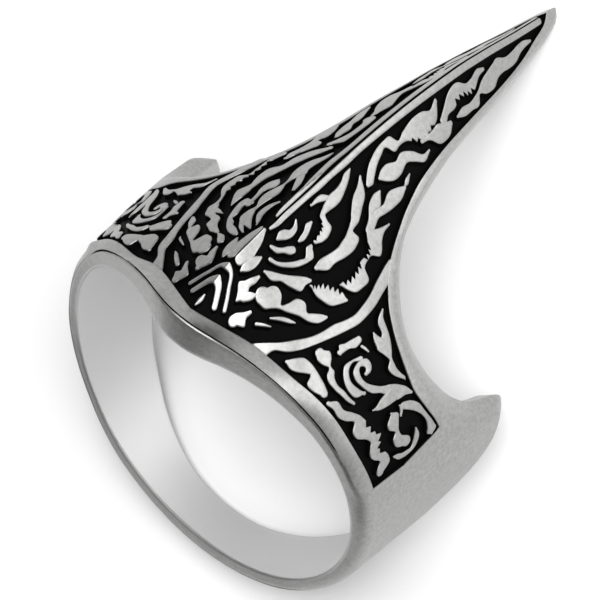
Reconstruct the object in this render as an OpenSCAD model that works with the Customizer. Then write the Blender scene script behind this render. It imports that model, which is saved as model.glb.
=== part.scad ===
// Archer's thumb ring, cast in one piece. A plain band carries two shoulder panels and a
// ridged head that runs out into a long spike over the finger.
// The ring is drawn with its bore along Y, the head up and the spike to the rear (+Y).
// A place on its outside is given by g, the way round from the ridge in mm at girth_r,
// and by y, the place along the bore. The two halves mirror each other, but for the ornament of
// the head and the wider spread of the left shoulder.

/* [Band] */
// Inside radius of the ring
bore_r = 10; // [8.5:0.25:11]
// Depth of the ground below the leaf tops
relief = 0.3; // [0.15:0.05:0.4]
// How far the leaves and strips are sunk into the ground
root = 0.15; // [0.1:0.05:0.25]
// Height of the head above its drawn height
head_lift = 0; // [-0.5:0.1:0.5]

/* [Shading] */
// Polished silver
silver = "silver"; // [silver, lightgray, gainsboro]

/* [Hidden] */

// Radius at which g is a true length
girth_r = 12;
// Radius of the hidden inner skin, inside the bore that is cut last
skin_r = bore_r - 0.5;
// All radii in the tables are those of a ring of this bore, and grow with the bore
table_bore_r = 10;
grow = bore_r - table_bore_r;
// The shoulders spread by this much per mm towards the rear, the right one and the left one, up
// to the first of these angles, and no more past the second
flare = [0.04, 0.1];
flare_fades = [80, 125];
// Half-angle that the ornament covers, and the step to the plain shank
panel_end = 67.3;
panel_step = 0.4;
// Past the ornament the skin is cut back by this hair, so that no two faces fall together
shank_cut = 0.01;
// Width of the steep edge between a strip and the ground
wall_run = 0.05;
// Bevel of the front edge
front_bevel = 0.1;
// The rear face is rounded: share of its run, and of its drop, at the middle of the round
rear_round = [0.6, 0.35];
// The rear face comes back by this share of its run, and away from the spike goes on to this
// depth below the bore
foot_back = 0.3;
foot_sink = 0.3;
// The inner side of each spur is cut back by this much, between the inner two of these angles,
// and not at all outside the outer two
spur_bevel = 0.5;
spur_angles = [57, 68, 76, 100];
// Cut of the bore: where it starts in front of the ring, its length and its number of sides
bore_start = -6;
bore_length = 20;
bore_sides = 120;
// Angles between which the roof of the head passes into the round shoulder
roof_end = 22;
band_start = 50;
// Angles between which the flat under the spike passes into the bore
under_end = 22;
under_gone = 38;

// Ridge: place along the bore, height above the axis, fall of the roof per mm sideways
RIDGE = [
  [-4.2, 11.8, 0.45], [-3.2, 11.95, 0.45], [-2.5, 12.2, 0.48], [-1.4, 12.98, 0.54],
  [-0.5, 13.6, 0.6], [0.8, 14.1, 0.66], [2.3, 14.65, 0.72], [3.8, 15.15, 0.76],
  [5.5, 15.38, 0.8], [8, 15.6, 0.86], [10, 15.9, 0.93], [12.5, 16.15, 0.98],
  [15.5, 16.22, 1.1], [18, 16, 1.14], [20.5, 15.6, 1.12], [24, 15.2, 1.1]
];

// Under side of the spike: place along the bore, height above the axis
UNDER = [
  [-5, 9.2], [5, 9.4], [6, 9.7], [8.3, 10.9], [11.8, 12.3], [16, 12.95], [20, 13.3],
  [22, 13.65], [23.8, 14.35], [24.3, 14.85]
];

// Front edge: angle off the top, place of the face, radius of its outer crease,
// place where the ground begins
FRONT = [
  [0, -4.05, 12.1, -3.2], [8, -3.78, 12, -2.5], [14.7, -3.05, 11.7, -1.98],
  [20, -2.65, 11.55, -1.7], [29, -2.05, 11.3, -1.28], [37, -1.55, 11.12, -0.8],
  [45, -1.05, 11, -0.38], [54, -0.62, 10.9, -0.05], [66.5, -0.3, 10.8, 0.43],
  [85, -0.08, 10.74, 0.6], [120, 0, 10.68, 0.6], [150, 0, 10.78, 0.5], [180, 0, 10.88, 0.45]
];

// Round shoulder and shank: angle off the top, outside radius
WALL = [
  [0, 11.6], [30, 11.45], [45, 11.33], [58, 11.27], [70, 11.17], [85, 11.02], [115, 10.9],
  [150, 10.95], [180, 11]
];

// Rear edge, from the tip of the spike round the notch and the spur to the shank: angle off
// the top, place where the ground ends, place of the crest, place of the rim, drop of the rim
REAR = [
  [0, 23.4, 23.95, 24.35, 0.35], [1.4, 22.8, 23.6, 24, 0.35], [2.6, 21.7, 22.8, 23.05, 0.35],
  [4.1, 20.38, 21.05, 21.15, 0.35], [6, 17.94, 18.7, 18.75, 0.35],
  [7.1, 16.07, 17.15, 17.3, 0.45], [8.9, 13.03, 14.35, 14.68, 0.6],
  [10.8, 10.84, 11.95, 12.7, 0.8], [12.9, 9.5, 10.3, 11.1, 0.9], [16.6, 7.91, 8.35, 9.17, 0.9],
  [21.1, 6.47, 6.8, 7.9, 0.9], [27, 5.47, 5.7, 6.97, 0.9], [34, 4.88, 5.05, 6.33, 0.9],
  [41, 4.62, 4.85, 6.08, 0.9], [49, 4.55, 5.2, 6.22, 0.85], [57, 4.96, 5.7, 6.75, 0.8],
  [62, 5.33, 6.2, 7.33, 0.8], [64.5, 5.44, 6.65, 7.75, 0.8], [66, 4.2, 6.95, 8.04, 0.8],
  [68.5, 2.2, 7.6, 8.7, 0.8], [70.5, 2, 8.35, 9.45, 0.8], [72.5, 2, 9.3, 10.42, 0.8],
  [76, 2, 9.85, 11, 0.8], [83, 2, 9.53, 10.63, 0.75], [91, 2, 8.47, 9.47, 0.6],
  [98, 2, 6.95, 7.85, 0.45], [107, 2, 5.55, 6.35, 0.35], [118, 2, 4.75, 5.45, 0.3],
  [133, 2, 4, 4.65, 0.3], [150, 2, 3.05, 3.65, 0.3], [165, 1.9, 2.45, 3.05, 0.3],
  [180, 1.8, 2.25, 2.88, 0.3]
];

// Angles off the top at which a section of the ring is drawn
SECTIONS = [
  0, 0.7, 1.4, 2.6, 4.1, 5.2, 6, 6.6, 7.1, 7.9, 8.9, 9.8, 10.8, 11.8, 12.9, 14.6, 16.6, 18.8,
  21.1, 24, 27, 30.5, 34, 37.5, 41, 45, 49, 53, 57, 60, 62, 64.5, 66, panel_end,
  panel_end + panel_step, 68.5, 69.5, 70.5, 71.5, 72.5, 74, 76, 79, 83, 87, 91, 97, 104, 112,
  120, 129, 138, 149, 160, 171
];
// Shares of the way across the ground, and of the way back along the inner side
ACROSS = [0.06, 0.14, 0.24, 0.36, 0.5, 0.66, 0.83];
BACK = [0.12, 0.3, 0.5, 0.7, 0.88];

// Each leaf and strip is a ladder. A row is one rung: g and y of its left end, then g and y
// of its right end.
// Ladders that both sides share
BOTH = [
  // strip between the head and the shoulder panel
  [[3.1, -2.1, 4.2, -1.85], [3.7, -1.35, 4.25, -1.3], [4.1, -0.85, 4.7, -0.85],
   [4.5, -0.1, 5.05, -0.2], [4.8, 0.6, 5.28, 0.6], [4.96, 1.3, 5.45, 1.3], [5.02, 2, 5.6, 2],
   [5.2, 2.7, 5.72, 2.7], [5.27, 3.2, 5.78, 3.2], [5.15, 3.9, 5.7, 3.9], [4.95, 4.6, 5.55, 4.6],
   [4.65, 5.3, 5.3, 5.3], [4.5, 5.6, 5.3, 5.6]],
  // bud, main lobe and side lobe
  [[0.02, 1.55, 0.16, 1.55], [0.02, 1.1, 0.34, 1.15], [0.02, 0.6, 0.47, 0.62],
   [0.02, 0.2, 0.55, 0.25], [0.02, -0.28, 0.42, -0.3]],
  [[0.66, 0.68, 0.78, 0.68], [0.5, 0.42, 0.85, 0.38], [0.44, 0, 0.84, -0.02],
   [0.44, -0.35, 0.72, -0.35], [0.5, -0.5, 0.6, -0.5]],
  // chevrons
  [[0.02, -1.02, 0.02, -0.68], [0.2, -0.98, 0.26, -0.76], [0.62, -1.45, 0.74, -1.3],
   [1.08, -2.08, 1.26, -1.98]],
  [[0.02, -1.74, 0.02, -1.3], [0.16, -1.78, 0.28, -1.45], [0.42, -2.08, 0.6, -1.85],
   [0.62, -2.38, 0.83, -2.2]],
  // leaves at the tip of the spike
  [[0.4, 17.45, 0.5, 17.45], [0.35, 17, 0.56, 17], [0.5, 16.3, 0.85, 16.3],
   [0.52, 15.85, 0.92, 15.9], [0.36, 15.4, 0.84, 15.5], [0.36, 14.95, 0.86, 15],
   [0.5, 14.4, 0.98, 14.5], [0.75, 13.9, 1.02, 14], [1, 13.35, 1.2, 13.7]],
  [[0.42, 21.5, 0.5, 21.5], [0.34, 21, 0.54, 21], [0.36, 20.5, 0.62, 20.5],
   [0.44, 19.9, 0.8, 19.9], [0.48, 19.2, 0.86, 19.2], [0.38, 18.6, 0.86, 18.7],
   [0.46, 18.2, 0.92, 18.25], [0.58, 17.6, 1.14, 17.7], [0.72, 17, 1.16, 17],
   [0.92, 16.5, 1.06, 16.5], [1, 16.2, 1.32, 16.25], [1.1, 15.6, 1.36, 15.6],
   [1.08, 15, 1.38, 15], [1.2, 14.5, 1.28, 14.48]]
];
// Ladders of the shoulder panel, on both sides
PANEL = [
  // leaf along the notch, with its lower lobe
  [[5.88, 4.82, 5.95, 4.9], [6.05, 4.5, 6.25, 4.68], [6.35, 4.22, 6.7, 4.6],
   [6.9, 4.15, 7.1, 4.55], [7.1, 3.9, 7.5, 4.44], [7.4, 3.5, 7.9, 4.28], [7.85, 3.72, 8.25, 4.1],
   [8.3, 3.88, 8.6, 4.08], [8.6, 3.62, 8.9, 4.1], [9, 3.7, 9.3, 4.25], [9.5, 4.1, 9.6, 4.38],
   [9.68, 4.28, 9.72, 4.34]],
  [[6.58, 3.78, 6.6, 3.68], [6.85, 3.9, 6.9, 3.56], [7.1, 4.1, 7.45, 3.52]],
  // short leaves beside the strip
  [[6.2, 2.75, 6.6, 2.82], [6.15, 2.4, 6.66, 2.5], [6.1, 2, 6.5, 2.1], [6.02, 1.7, 6.48, 1.7],
   [6.2, 1.6, 6.5, 1.5]],
  [[6.75, 2.88, 6.82, 2.72], [7, 3, 7.08, 2.86], [7.18, 3.04, 7.22, 2.94]],
  [[5.75, 0.85, 5.78, 0.3], [5.95, 1.08, 6, 0.25], [6.3, 1, 6.35, 0.38], [6.6, 0.74, 6.64, 0.58],
   [6.95, 0.76, 6.85, 0.3], [7.15, 0.62, 7.1, 0.17], [7.6, 0.54, 7.65, 0.22],
   [8.1, 0.72, 8.2, 0.42], [8.6, 0.85, 8.7, 0.62], [8.95, 1, 9.02, 0.84]],
  [[5.02, -1.02, 5.15, -1.18], [5.18, -0.68, 5.5, -1.18], [5.45, -0.3, 5.85, -0.98],
   [5.9, -0.12, 6.1, -0.72], [6.4, -0.08, 6.38, -0.52], [6.7, -0.08, 6.6, -0.88],
   [7.2, -0.1, 7.15, -0.84], [7.56, -0.15, 7.5, -0.62]],
  // volute: inner strand running out into a leaf, outer strand, tail of the leaf
  [[8.2, 2.3, 7.98, 2.32], [8.14, 2.62, 7.9, 2.4], [7.85, 2.82, 7.72, 2.38],
   [7.45, 2.75, 7.62, 2.26], [7.3, 2.3, 7.62, 2.12], [7.38, 1.98, 7.75, 2.02],
   [7.6, 1.68, 7.95, 1.98], [8, 1.58, 8.15, 1.98], [8.45, 1.72, 8.4, 2.06],
   [8.95, 1.98, 8.72, 2.3], [9.2, 2.2, 9.1, 2.75], [9.5, 2.68, 9.38, 3.35],
   [10.38, 3.4, 9.7, 3.85], [10.45, 4, 10.1, 4.25], [10.6, 4.34, 10.45, 4.42]],
  [[7.12, 2.45, 7.4, 2.4], [7.02, 1.9, 7.18, 1.95], [7.02, 1.45, 7.3, 1.6],
   [7.35, 1.12, 7.6, 1.38], [7.9, 0.92, 8, 1.33], [8.4, 0.95, 8.35, 1.46],
   [8.82, 1.2, 8.72, 1.68], [8.9, 1.6, 8.84, 1.84]],
  [[9.6, 3.2, 10.36, 3.3], [9.75, 2.5, 10.32, 2.6], [9.92, 2.1, 10.22, 2.15],
   [9.95, 1.8, 10.05, 1.85]],
  // ring of leaves at the outer end
  [[10.7, 3.75, 11.08, 3.57], [10.88, 4.15, 11.33, 3.9], [11.28, 4.55, 11.63, 4.23],
   [11.88, 4.77, 12.08, 4.55], [12.48, 5, 12.58, 4.7], [12.98, 5.17, 13.03, 4.67],
   [13.36, 5.19, 13.38, 4.61], [13.5, 4.95, 13.5, 4.8]],
  [[10.73, 3.5, 10.78, 3.37], [11.03, 3.53, 11.08, 3.3], [11.28, 3.35, 11.26, 3.2]],
  [[10.8, 2.85, 10.88, 2.7], [10.98, 3.15, 11.18, 2.37], [11.43, 3.05, 11.58, 2.3],
   [11.88, 2.89, 11.9, 2.61], [12.28, 2.97, 12.28, 2.35], [12.5, 3.25, 12.78, 2.47],
   [12.63, 3.4, 12.96, 2.85]],
  [[12.53, 4.01, 12.53, 3.89], [12.93, 4.07, 12.88, 3.73], [13.28, 3.9, 13.18, 3.55],
   [13.54, 3.6, 13.38, 3.37], [13.66, 3.15, 13.38, 3.1], [13.64, 2.7, 13.34, 2.75],
   [13.52, 2.35, 13.18, 2.4], [13.28, 2.15, 13.14, 2.2]],
  // scalloped leaf along the front
  [[8.08, -0.3, 8.15, -0.56], [8.3, 0.08, 8.5, -0.36], [8.9, 0.22, 9.05, -0.28],
   [9.35, 0.65, 9.5, 0.05], [9.8, 1.02, 9.9, 0.5], [10.2, 1.2, 10.3, 0.22],
   [10.65, 1.35, 10.75, 0.28], [11.05, 1.5, 11.15, 0.8], [11.35, 1.8, 11.45, 0.98],
   [11.8, 1.62, 11.8, 0.82], [12.1, 1.45, 12.15, 0.7], [12.5, 1.7, 12.5, 0.85],
   [12.9, 1.85, 12.85, 1.2], [13.25, 1.8, 13.2, 0.95], [13.55, 1.3, 13.38, 0.85]]
];
// Ladders of the right side of the head and spike
RIGHT = [
  // strip along the ridge
  [[0.1, 1.75, 0.18, 1.75], [0.04, 2.4, 0.26, 2.4], [0.03, 4, 0.3, 4], [0.03, 6.5, 0.28, 6.5],
   [0.03, 10, 0.24, 10], [0.03, 14, 0.24, 14], [0.03, 18, 0.22, 18], [0.03, 22.7, 0.2, 22.7]],
  // small forked leaves beside the bud
  [[1.15, 0.05, 1.3, 0.05], [1.04, -0.25, 1.34, -0.25], [0.95, -0.55, 1.3, -0.62],
   [0.8, -0.88, 1.55, -0.95], [1, -1.1, 1.45, -1.2], [1.2, -1.36, 1.34, -1.36]],
  [[1.62, -0.52, 1.76, -0.6], [1.4, -0.7, 1.74, -0.85], [1.2, -0.95, 1.6, -1.1]],
  [[1.98, -1.2, 2.18, -1.2], [1.85, -1.42, 2.18, -1.5], [1.65, -1.68, 2.4, -1.75],
   [1.55, -1.95, 2.1, -1.98]],
  // lobed leaf from the bud to the strip, and small leaves round it
  [[1.8, 0.1, 2.15, -0.65], [1.88, 0.38, 2.42, -0.58], [2.15, 0.58, 2.6, -0.32],
   [2.48, 0.5, 2.75, -0.1], [2.74, 0.22, 2.9, 0.05], [2.9, 0.55, 3.15, 0.22],
   [3, 1.08, 3.45, 0.48], [3.4, 1.34, 3.75, 0.72], [3.78, 1.14, 4.15, 0.92], [4, 1.4, 4.42, 1.18],
   [4.3, 1.78, 4.58, 1.5], [4.45, 1.9, 4.62, 1.85]],
  [[1.18, 0.5, 1.3, 0.4], [1.38, 0.72, 1.62, 0.45], [1.85, 1.2, 2, 0.88],
   [2.15, 1.58, 2.45, 1.12], [2.38, 1.9, 2.88, 1.5], [2.55, 2.1, 2.8, 1.85],
   [2.68, 2.2, 2.84, 2.12]],
  [[2.88, -0.56, 2.98, -0.62], [3.15, -0.15, 3.3, -0.3], [3.5, 0.18, 3.68, 0.05],
   [3.78, 0.34, 3.86, 0.28]],
  [[2.62, -1.2, 2.75, -1.32], [2.9, -0.96, 3, -1.08], [3.2, -0.78, 3.26, -0.84]],
  // curl and the small leaves inside it
  [[0.95, 1.08, 1.12, 0.95], [1.2, 1.2, 1.42, 1.15], [1.45, 1.5, 1.7, 1.48],
   [1.65, 1.85, 1.9, 1.8], [1.8, 2.25, 2.05, 2.2], [1.88, 2.58, 2.13, 2.65],
   [1.62, 2.86, 2.1, 2.95], [1.62, 3.08, 1.8, 3.12]],
  [[0.64, 1.45, 0.76, 1.32], [0.85, 1.62, 1, 1.42], [1, 1.85, 1.18, 1.72], [1.1, 2.1, 1.42, 1.98],
   [1.2, 2.28, 1.48, 2.18]],
  [[0.58, 3.1, 0.64, 3.16], [0.7, 2.85, 0.88, 2.95], [0.7, 2.6, 0.96, 2.65],
   [0.54, 2.35, 0.92, 2.3], [0.5, 2.05, 0.8, 2.02], [0.6, 1.82, 0.68, 1.8]],
  [[0.98, 3.75, 1.1, 3.75], [0.94, 3.5, 1.22, 3.5], [1.1, 3.15, 1.34, 3.15],
   [1.16, 2.85, 1.36, 2.88], [1.2, 2.7, 1.3, 2.7]],
  // hooked leaf under the ridge, with its prong
  [[0.4, 7.15, 0.46, 7.2], [0.42, 6.8, 0.68, 6.85], [0.58, 6.35, 0.92, 6.3],
   [0.66, 5.9, 1.08, 5.85], [0.68, 5.4, 1.14, 5.4], [0.78, 5, 1.13, 4.95],
   [0.88, 4.72, 1.16, 4.62], [1.08, 4.3, 1.4, 4.56], [1.35, 4.15, 1.66, 4.58],
   [1.46, 4, 1.86, 4.15], [1.52, 3.75, 1.88, 3.75], [1.6, 3.4, 1.78, 3.4]],
  [[0.68, 5.35, 0.82, 5.25], [0.52, 5.05, 0.76, 5], [0.48, 4.65, 0.66, 4.6],
   [0.55, 4.25, 0.62, 4.15]],
  // great leaf of the roof
  [[0.78, 7.5, 0.9, 7.52], [1, 7.15, 1.4, 7.28], [1.25, 6.55, 1.78, 6.72],
   [1.62, 6.05, 2.12, 6.15], [1.98, 5.6, 2.35, 5.52], [2.2, 5.15, 2.62, 5.68],
   [2.32, 4.75, 2.9, 5.2], [2.42, 4.3, 2.96, 4.5], [2.4, 3.7, 2.88, 3.75], [2.34, 3.15, 2.9, 3.2],
   [2.42, 2.75, 2.62, 2.76]],
  // outer leaves along the strip
  [[4.42, 3.3, 4.56, 3.22], [3.95, 3.28, 4.45, 2.85], [3.55, 3.02, 4.25, 2.4],
   [3.2, 2.66, 3.85, 2.15], [3, 2.3, 3.4, 2], [2.9, 2.05, 3, 2.02]],
  [[2.9, 7.62, 3, 7.7], [2.84, 7.15, 3.1, 7.2], [2.75, 6.75, 3.35, 6.8], [2.6, 6.3, 3.7, 6.5],
   [3, 6, 3.82, 6.2], [3.3, 5.75, 3.6, 5.85], [3.42, 5.4, 3.64, 5.5], [3.45, 5.15, 3.85, 5.08],
   [3.55, 4.85, 4.38, 4.95], [3.7, 4.45, 4.5, 4.4], [3.78, 4, 4.46, 3.9], [3.7, 3.6, 4.1, 3.55],
   [3.72, 3.4, 3.8, 3.38]],
  [[2.08, 9.55, 2.22, 9.58], [1.96, 9.1, 2.44, 9.1], [1.9, 8.55, 2.52, 8.5],
   [2.15, 7.9, 2.52, 7.8], [2.12, 7.3, 2.5, 7.3], [2.3, 6.8, 2.7, 6.85]],
  [[1.62, 8.08, 1.75, 8.12], [1.62, 7.7, 2.15, 7.75], [1.85, 7.15, 2.3, 7.3],
   [2.25, 6.75, 2.6, 6.95], [2.5, 6.3, 2.9, 6.6]],
  // leaves from the head up the spike
  [[1.56, 11.9, 1.66, 11.9], [1.58, 11.45, 1.84, 11.4], [1.25, 10.9, 1.62, 10.8],
   [1.06, 10.3, 1.48, 10.35], [1.18, 9.75, 1.68, 9.7], [1.06, 9.2, 1.7, 9.2],
   [1.12, 8.7, 1.52, 8.7], [1.26, 8.42, 1.36, 8.44]],
  [[0.36, 13.58, 0.5, 13.62], [0.55, 13, 0.92, 13.18], [0.44, 12.5, 1.12, 12.6],
   [0.42, 12, 1.3, 12.1], [0.46, 11.5, 1.12, 11.4], [0.56, 10.95, 0.9, 10.95],
   [0.68, 10.4, 0.86, 10.4], [0.42, 10.1, 0.92, 9.98], [0.4, 9.7, 0.62, 9.6],
   [0.44, 9.2, 0.72, 9.2], [0.56, 8.7, 0.9, 8.7], [0.72, 8.25, 1.15, 8.25], [1, 7.8, 1.34, 7.9],
   [1.15, 7.63, 1.32, 7.68]],
  [[1.2, 13.9, 1.38, 13.94], [1.15, 13.5, 1.6, 13.6], [1.05, 13, 1.7, 13],
   [1.12, 12.6, 1.66, 12.68], [1.14, 12.1, 1.34, 12.2], [1.14, 11.7, 1.28, 11.7]],
  [[1.82, 10.15, 1.9, 10.18], [1.92, 9.8, 2.14, 9.8], [2.05, 9.62, 2.14, 9.6]]
];
// Ladders of the left side, drawn as if on the right
LEFT = [
  // strip along the ridge
  [[0.02, 1.75, 0.08, 1.75], [-0.02, 2.4, 0.12, 2.4], [0, 4, 0.15, 4], [0.02, 5.5, 0.28, 5.5],
   [0.06, 6.5, 0.42, 6.5], [0.12, 8, 0.45, 8], [0.15, 10, 0.48, 10], [0.13, 14, 0.45, 14],
   [0.1, 18, 0.35, 18], [0.05, 22.7, 0.25, 22.7]],
  // small forked leaves beside the bud
  [[1.2, -0.08, 1.38, -0.12], [1.08, -0.35, 1.42, -0.4], [0.95, -0.6, 1.42, -0.68],
   [0.86, -0.85, 1.72, -0.7], [1, -1.08, 1.8, -1], [1.25, -1.32, 1.5, -1.28]],
  [[2.08, -1.2, 2.28, -1.25], [1.92, -1.42, 2.22, -1.48], [1.62, -1.7, 2.2, -1.66],
   [1.78, -1.95, 2.46, -1.8], [1.92, -2.1, 2.35, -2.02]],
  // blades under the lobed leaf
  [[2.6, -1.3, 2.72, -1.5], [2.88, -1.08, 3, -1.3], [3.15, -0.88, 3.28, -1.02],
   [3.32, -0.82, 3.38, -0.88]],
  [[3.2, -0.35, 3.24, -0.42], [3.6, -0.1, 3.66, -0.22], [3.95, 0.08, 4.05, 0]],
  // lobed leaf from the bud to the strip
  [[1.78, 0.05, 2.05, -0.6], [1.95, 0.35, 2.25, -0.68], [2.25, 0.52, 2.5, -0.55],
   [2.55, 0.5, 2.7, -0.4], [2.7, 0.2, 2.78, -0.32], [2.85, -0.02, 2.95, -0.18],
   [3, 0.3, 3.15, -0.05], [3.1, 0.65, 3.5, 0.2], [3.35, 0.98, 3.8, 0.4], [3.58, 1.06, 4, 0.52],
   [3.78, 0.8, 4.15, 0.62], [4.02, 0.95, 4.4, 0.82], [4.3, 1.32, 4.68, 1.12],
   [4.62, 1.54, 4.8, 1.42]],
  // comb leaf along the strip, with its prong
  [[2, 0.92, 2.12, 0.76], [2.3, 1.15, 2.5, 0.8], [2.53, 1.42, 2.85, 1.02],
   [2.62, 1.68, 3.12, 1.2], [2.85, 1.86, 3.12, 1.52], [3.2, 1.98, 3.4, 1.7],
   [3.45, 2.45, 3.8, 1.8], [3.55, 2.62, 4.25, 2.05], [3.68, 2.78, 4.42, 2.4],
   [3.72, 2.95, 4.1, 2.75], [3.78, 3.15, 4.15, 3.05], [3.9, 3.4, 4.42, 3.4],
   [3.85, 3.8, 4.55, 3.75], [3.9, 4.2, 4.56, 4.15], [3.8, 4.6, 4.54, 4.6], [3.72, 5, 4.42, 5.05],
   [3.62, 5.3, 3.98, 5.2], [3.62, 5.8, 3.96, 5.8], [3.65, 6.3, 3.98, 6.3], [3.7, 6.7, 4.02, 6.7],
   [3.6, 7.1, 3.95, 7.1], [3.4, 7.45, 3.7, 7.5]],
  [[2.8, 2.04, 2.84, 2.1], [3, 2.05, 3.05, 2.24], [3.35, 2.05, 3.45, 2.42]],
  [[1.3, 0.5, 1.5, 0.2], [1.48, 0.7, 1.68, 0.4], [1.75, 0.78, 1.88, 0.66],
   [1.95, 0.8, 2.02, 0.76]],
  // hooked strand and the strand above it
  [[0.98, 1.05, 1.05, 0.82], [1.3, 1.3, 1.45, 0.95], [1.6, 1.46, 1.85, 1.25],
   [1.72, 1.66, 2.1, 1.58], [1.98, 1.86, 2.25, 1.85], [1.94, 2.2, 2.36, 2.2],
   [2.02, 2.6, 2.44, 2.6], [2.02, 2.88, 2.44, 2.95], [1.85, 3.02, 2.25, 3.25],
   [1.74, 2.88, 1.8, 3.1]],
  [[1.72, 2.85, 2, 2.88], [1.75, 3.2, 1.98, 3.3], [1.75, 3.6, 2, 3.6], [1.72, 3.95, 2.1, 3.95],
   [1.55, 4.1, 2.12, 4.2], [1.38, 4.3, 2.08, 4.5], [1.48, 4.7, 1.95, 4.75],
   [1.65, 4.88, 1.8, 4.88]],
  // double strand beside the ridge, with its tail and prong
  [[0.53, 1.42, 0.6, 1.36], [0.75, 1.72, 0.95, 1.5], [0.98, 2.08, 1.3, 1.62],
   [1.1, 2.38, 1.62, 2], [1.18, 2.55, 1.55, 2.45], [1.18, 2.75, 1.36, 2.75],
   [1.08, 3.15, 1.5, 3.15], [0.92, 3.5, 1.56, 3.5], [0.84, 3.8, 1.5, 3.8],
   [0.92, 4.15, 1.35, 4.15], [1.04, 4.5, 1.2, 4.5], [1.04, 4.8, 1.2, 4.8], [0.98, 5.1, 1.3, 5.15],
   [0.7, 5.5, 1.42, 5.5], [0.82, 5.9, 1.48, 5.9], [0.82, 6.25, 1.45, 6.3], [0.72, 6.7, 1.3, 6.75],
   [0.64, 7.1, 0.98, 7.1], [0.66, 7.5, 0.74, 7.52]],
  [[0.7, 1.12, 0.76, 1.06], [0.95, 1.42, 1.15, 1.32], [1.2, 1.72, 1.45, 1.72]],
  [[0.3, 4.2, 0.45, 4.12], [0.34, 4.55, 0.62, 4.5], [0.48, 5, 0.85, 5], [0.65, 5.38, 1, 5.3]],
  [[0.38, 3.18, 0.5, 3.24], [0.52, 2.95, 0.72, 3.05], [0.58, 2.65, 0.9, 2.7],
   [0.56, 2.3, 0.92, 2.35], [0.46, 1.95, 0.72, 1.98], [0.4, 1.65, 0.48, 1.7]],
  // great leaf of the roof
  [[2.76, 2.7, 2.84, 2.7], [2.7, 3.05, 3.05, 3.05], [2.6, 3.45, 3.26, 3.45],
   [2.56, 3.75, 3.32, 3.75], [2.6, 4.02, 3.12, 4.05], [2.6, 4.3, 2.98, 4.3],
   [2.56, 4.65, 3.06, 4.65], [2.5, 5, 3.17, 5.05], [2.35, 5.4, 3.2, 5.45], [2.18, 5.85, 3.1, 5.9],
   [2, 6.3, 2.62, 6.2], [1.88, 6.6, 2.54, 6.6], [1.68, 7, 2.48, 7], [1.45, 7.35, 2.25, 7.4],
   [1.2, 7.7, 1.9, 7.78], [1.05, 7.95, 1.35, 8.04]],
  // outer leaf where the head narrows
  [[2.3, 10.1, 2.75, 10.1], [2.16, 9.6, 2.84, 9.6], [2.2, 9.1, 2.88, 9.2],
   [2.48, 8.82, 2.84, 8.85], [2.05, 8.55, 2.82, 8.6], [2.02, 8.3, 2.88, 8.3],
   [2.25, 7.95, 2.98, 7.95], [2.55, 7.62, 3.12, 7.65], [2.75, 7.25, 3.2, 7.4],
   [2.9, 6.92, 3.1, 7.1]],
  // leaves from the head up the spike
  [[0.68, 10.65, 1.25, 10.58], [0.66, 10.3, 1.08, 10.3], [0.68, 9.8, 1.06, 9.8],
   [0.72, 9.3, 1.12, 9.3], [0.78, 8.9, 1.3, 8.9], [0.88, 8.55, 1.5, 8.6], [1.3, 8.35, 1.62, 8.45]],
  [[1.82, 11.98, 1.98, 12], [1.68, 11.5, 2.08, 11.5], [1.52, 11, 2.04, 11],
   [1.5, 10.6, 1.98, 10.6], [1.55, 10.28, 2, 10.25], [1.36, 9.78, 1.98, 9.9],
   [1.44, 9.4, 1.9, 9.4], [1.55, 9.08, 1.72, 9.08]],
  [[1, 10.98, 1.15, 10.98], [0.86, 11.4, 1.24, 11.4], [0.7, 11.85, 1.45, 11.8],
   [0.78, 12.3, 1.62, 12.3], [0.92, 12.8, 1.68, 12.8], [1, 13.2, 1.6, 13.2],
   [0.98, 13.6, 1.34, 13.55], [0.92, 13.95, 1.2, 14]]
];
// Seed leaf on the centre line
SEED = [[-0.02, -2.3, 0.06, -2.3], [-0.09, -2.5, 0.12, -2.5], [-0.06, -2.74, 0.1, -2.74],
        [-0.02, -2.9, 0.06, -2.9]];

// Value of column c at x, on a smooth curve through the rows of table t
function row_of(x, t, i = 0) = i >= len(t) - 2 || x < t[i + 1][0] ? i : row_of(x, t, i + 1);
function rise(t, c, i) = (t[i + 1][c] - t[i][c]) / (t[i + 1][0] - t[i][0]);
function slope(t, c, i) =
  i == 0 ? rise(t, c, 0) :
  i == len(t) - 1 ? rise(t, c, i - 1) :
  let (a = rise(t, c, i - 1), b = rise(t, c, i),
       h0 = t[i][0] - t[i - 1][0], h1 = t[i + 1][0] - t[i][0],
       m = (a * h1 + b * h0) / (h0 + h1), most = 3 * min(abs(a), abs(b)))
  a * b <= 0 ? 0 : max(-most, min(most, m));
function curve(x, t, c) =
  let (last = len(t) - 1, q = max(t[0][0], min(t[last][0], x)), i = row_of(q, t),
       h = t[i + 1][0] - t[i][0], s = (q - t[i][0]) / h)
  (1 + 2 * s) * (1 - s) * (1 - s) * t[i][c] + s * (1 - s) * (1 - s) * h * slope(t, c, i)
  + s * s * (3 - 2 * s) * t[i + 1][c] - s * s * (1 - s) * h * slope(t, c, i + 1);
function ease(a, b, x) = let (s = max(0, min(1, (x - a) / (b - a)))) s * s * (3 - 2 * s);

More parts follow.
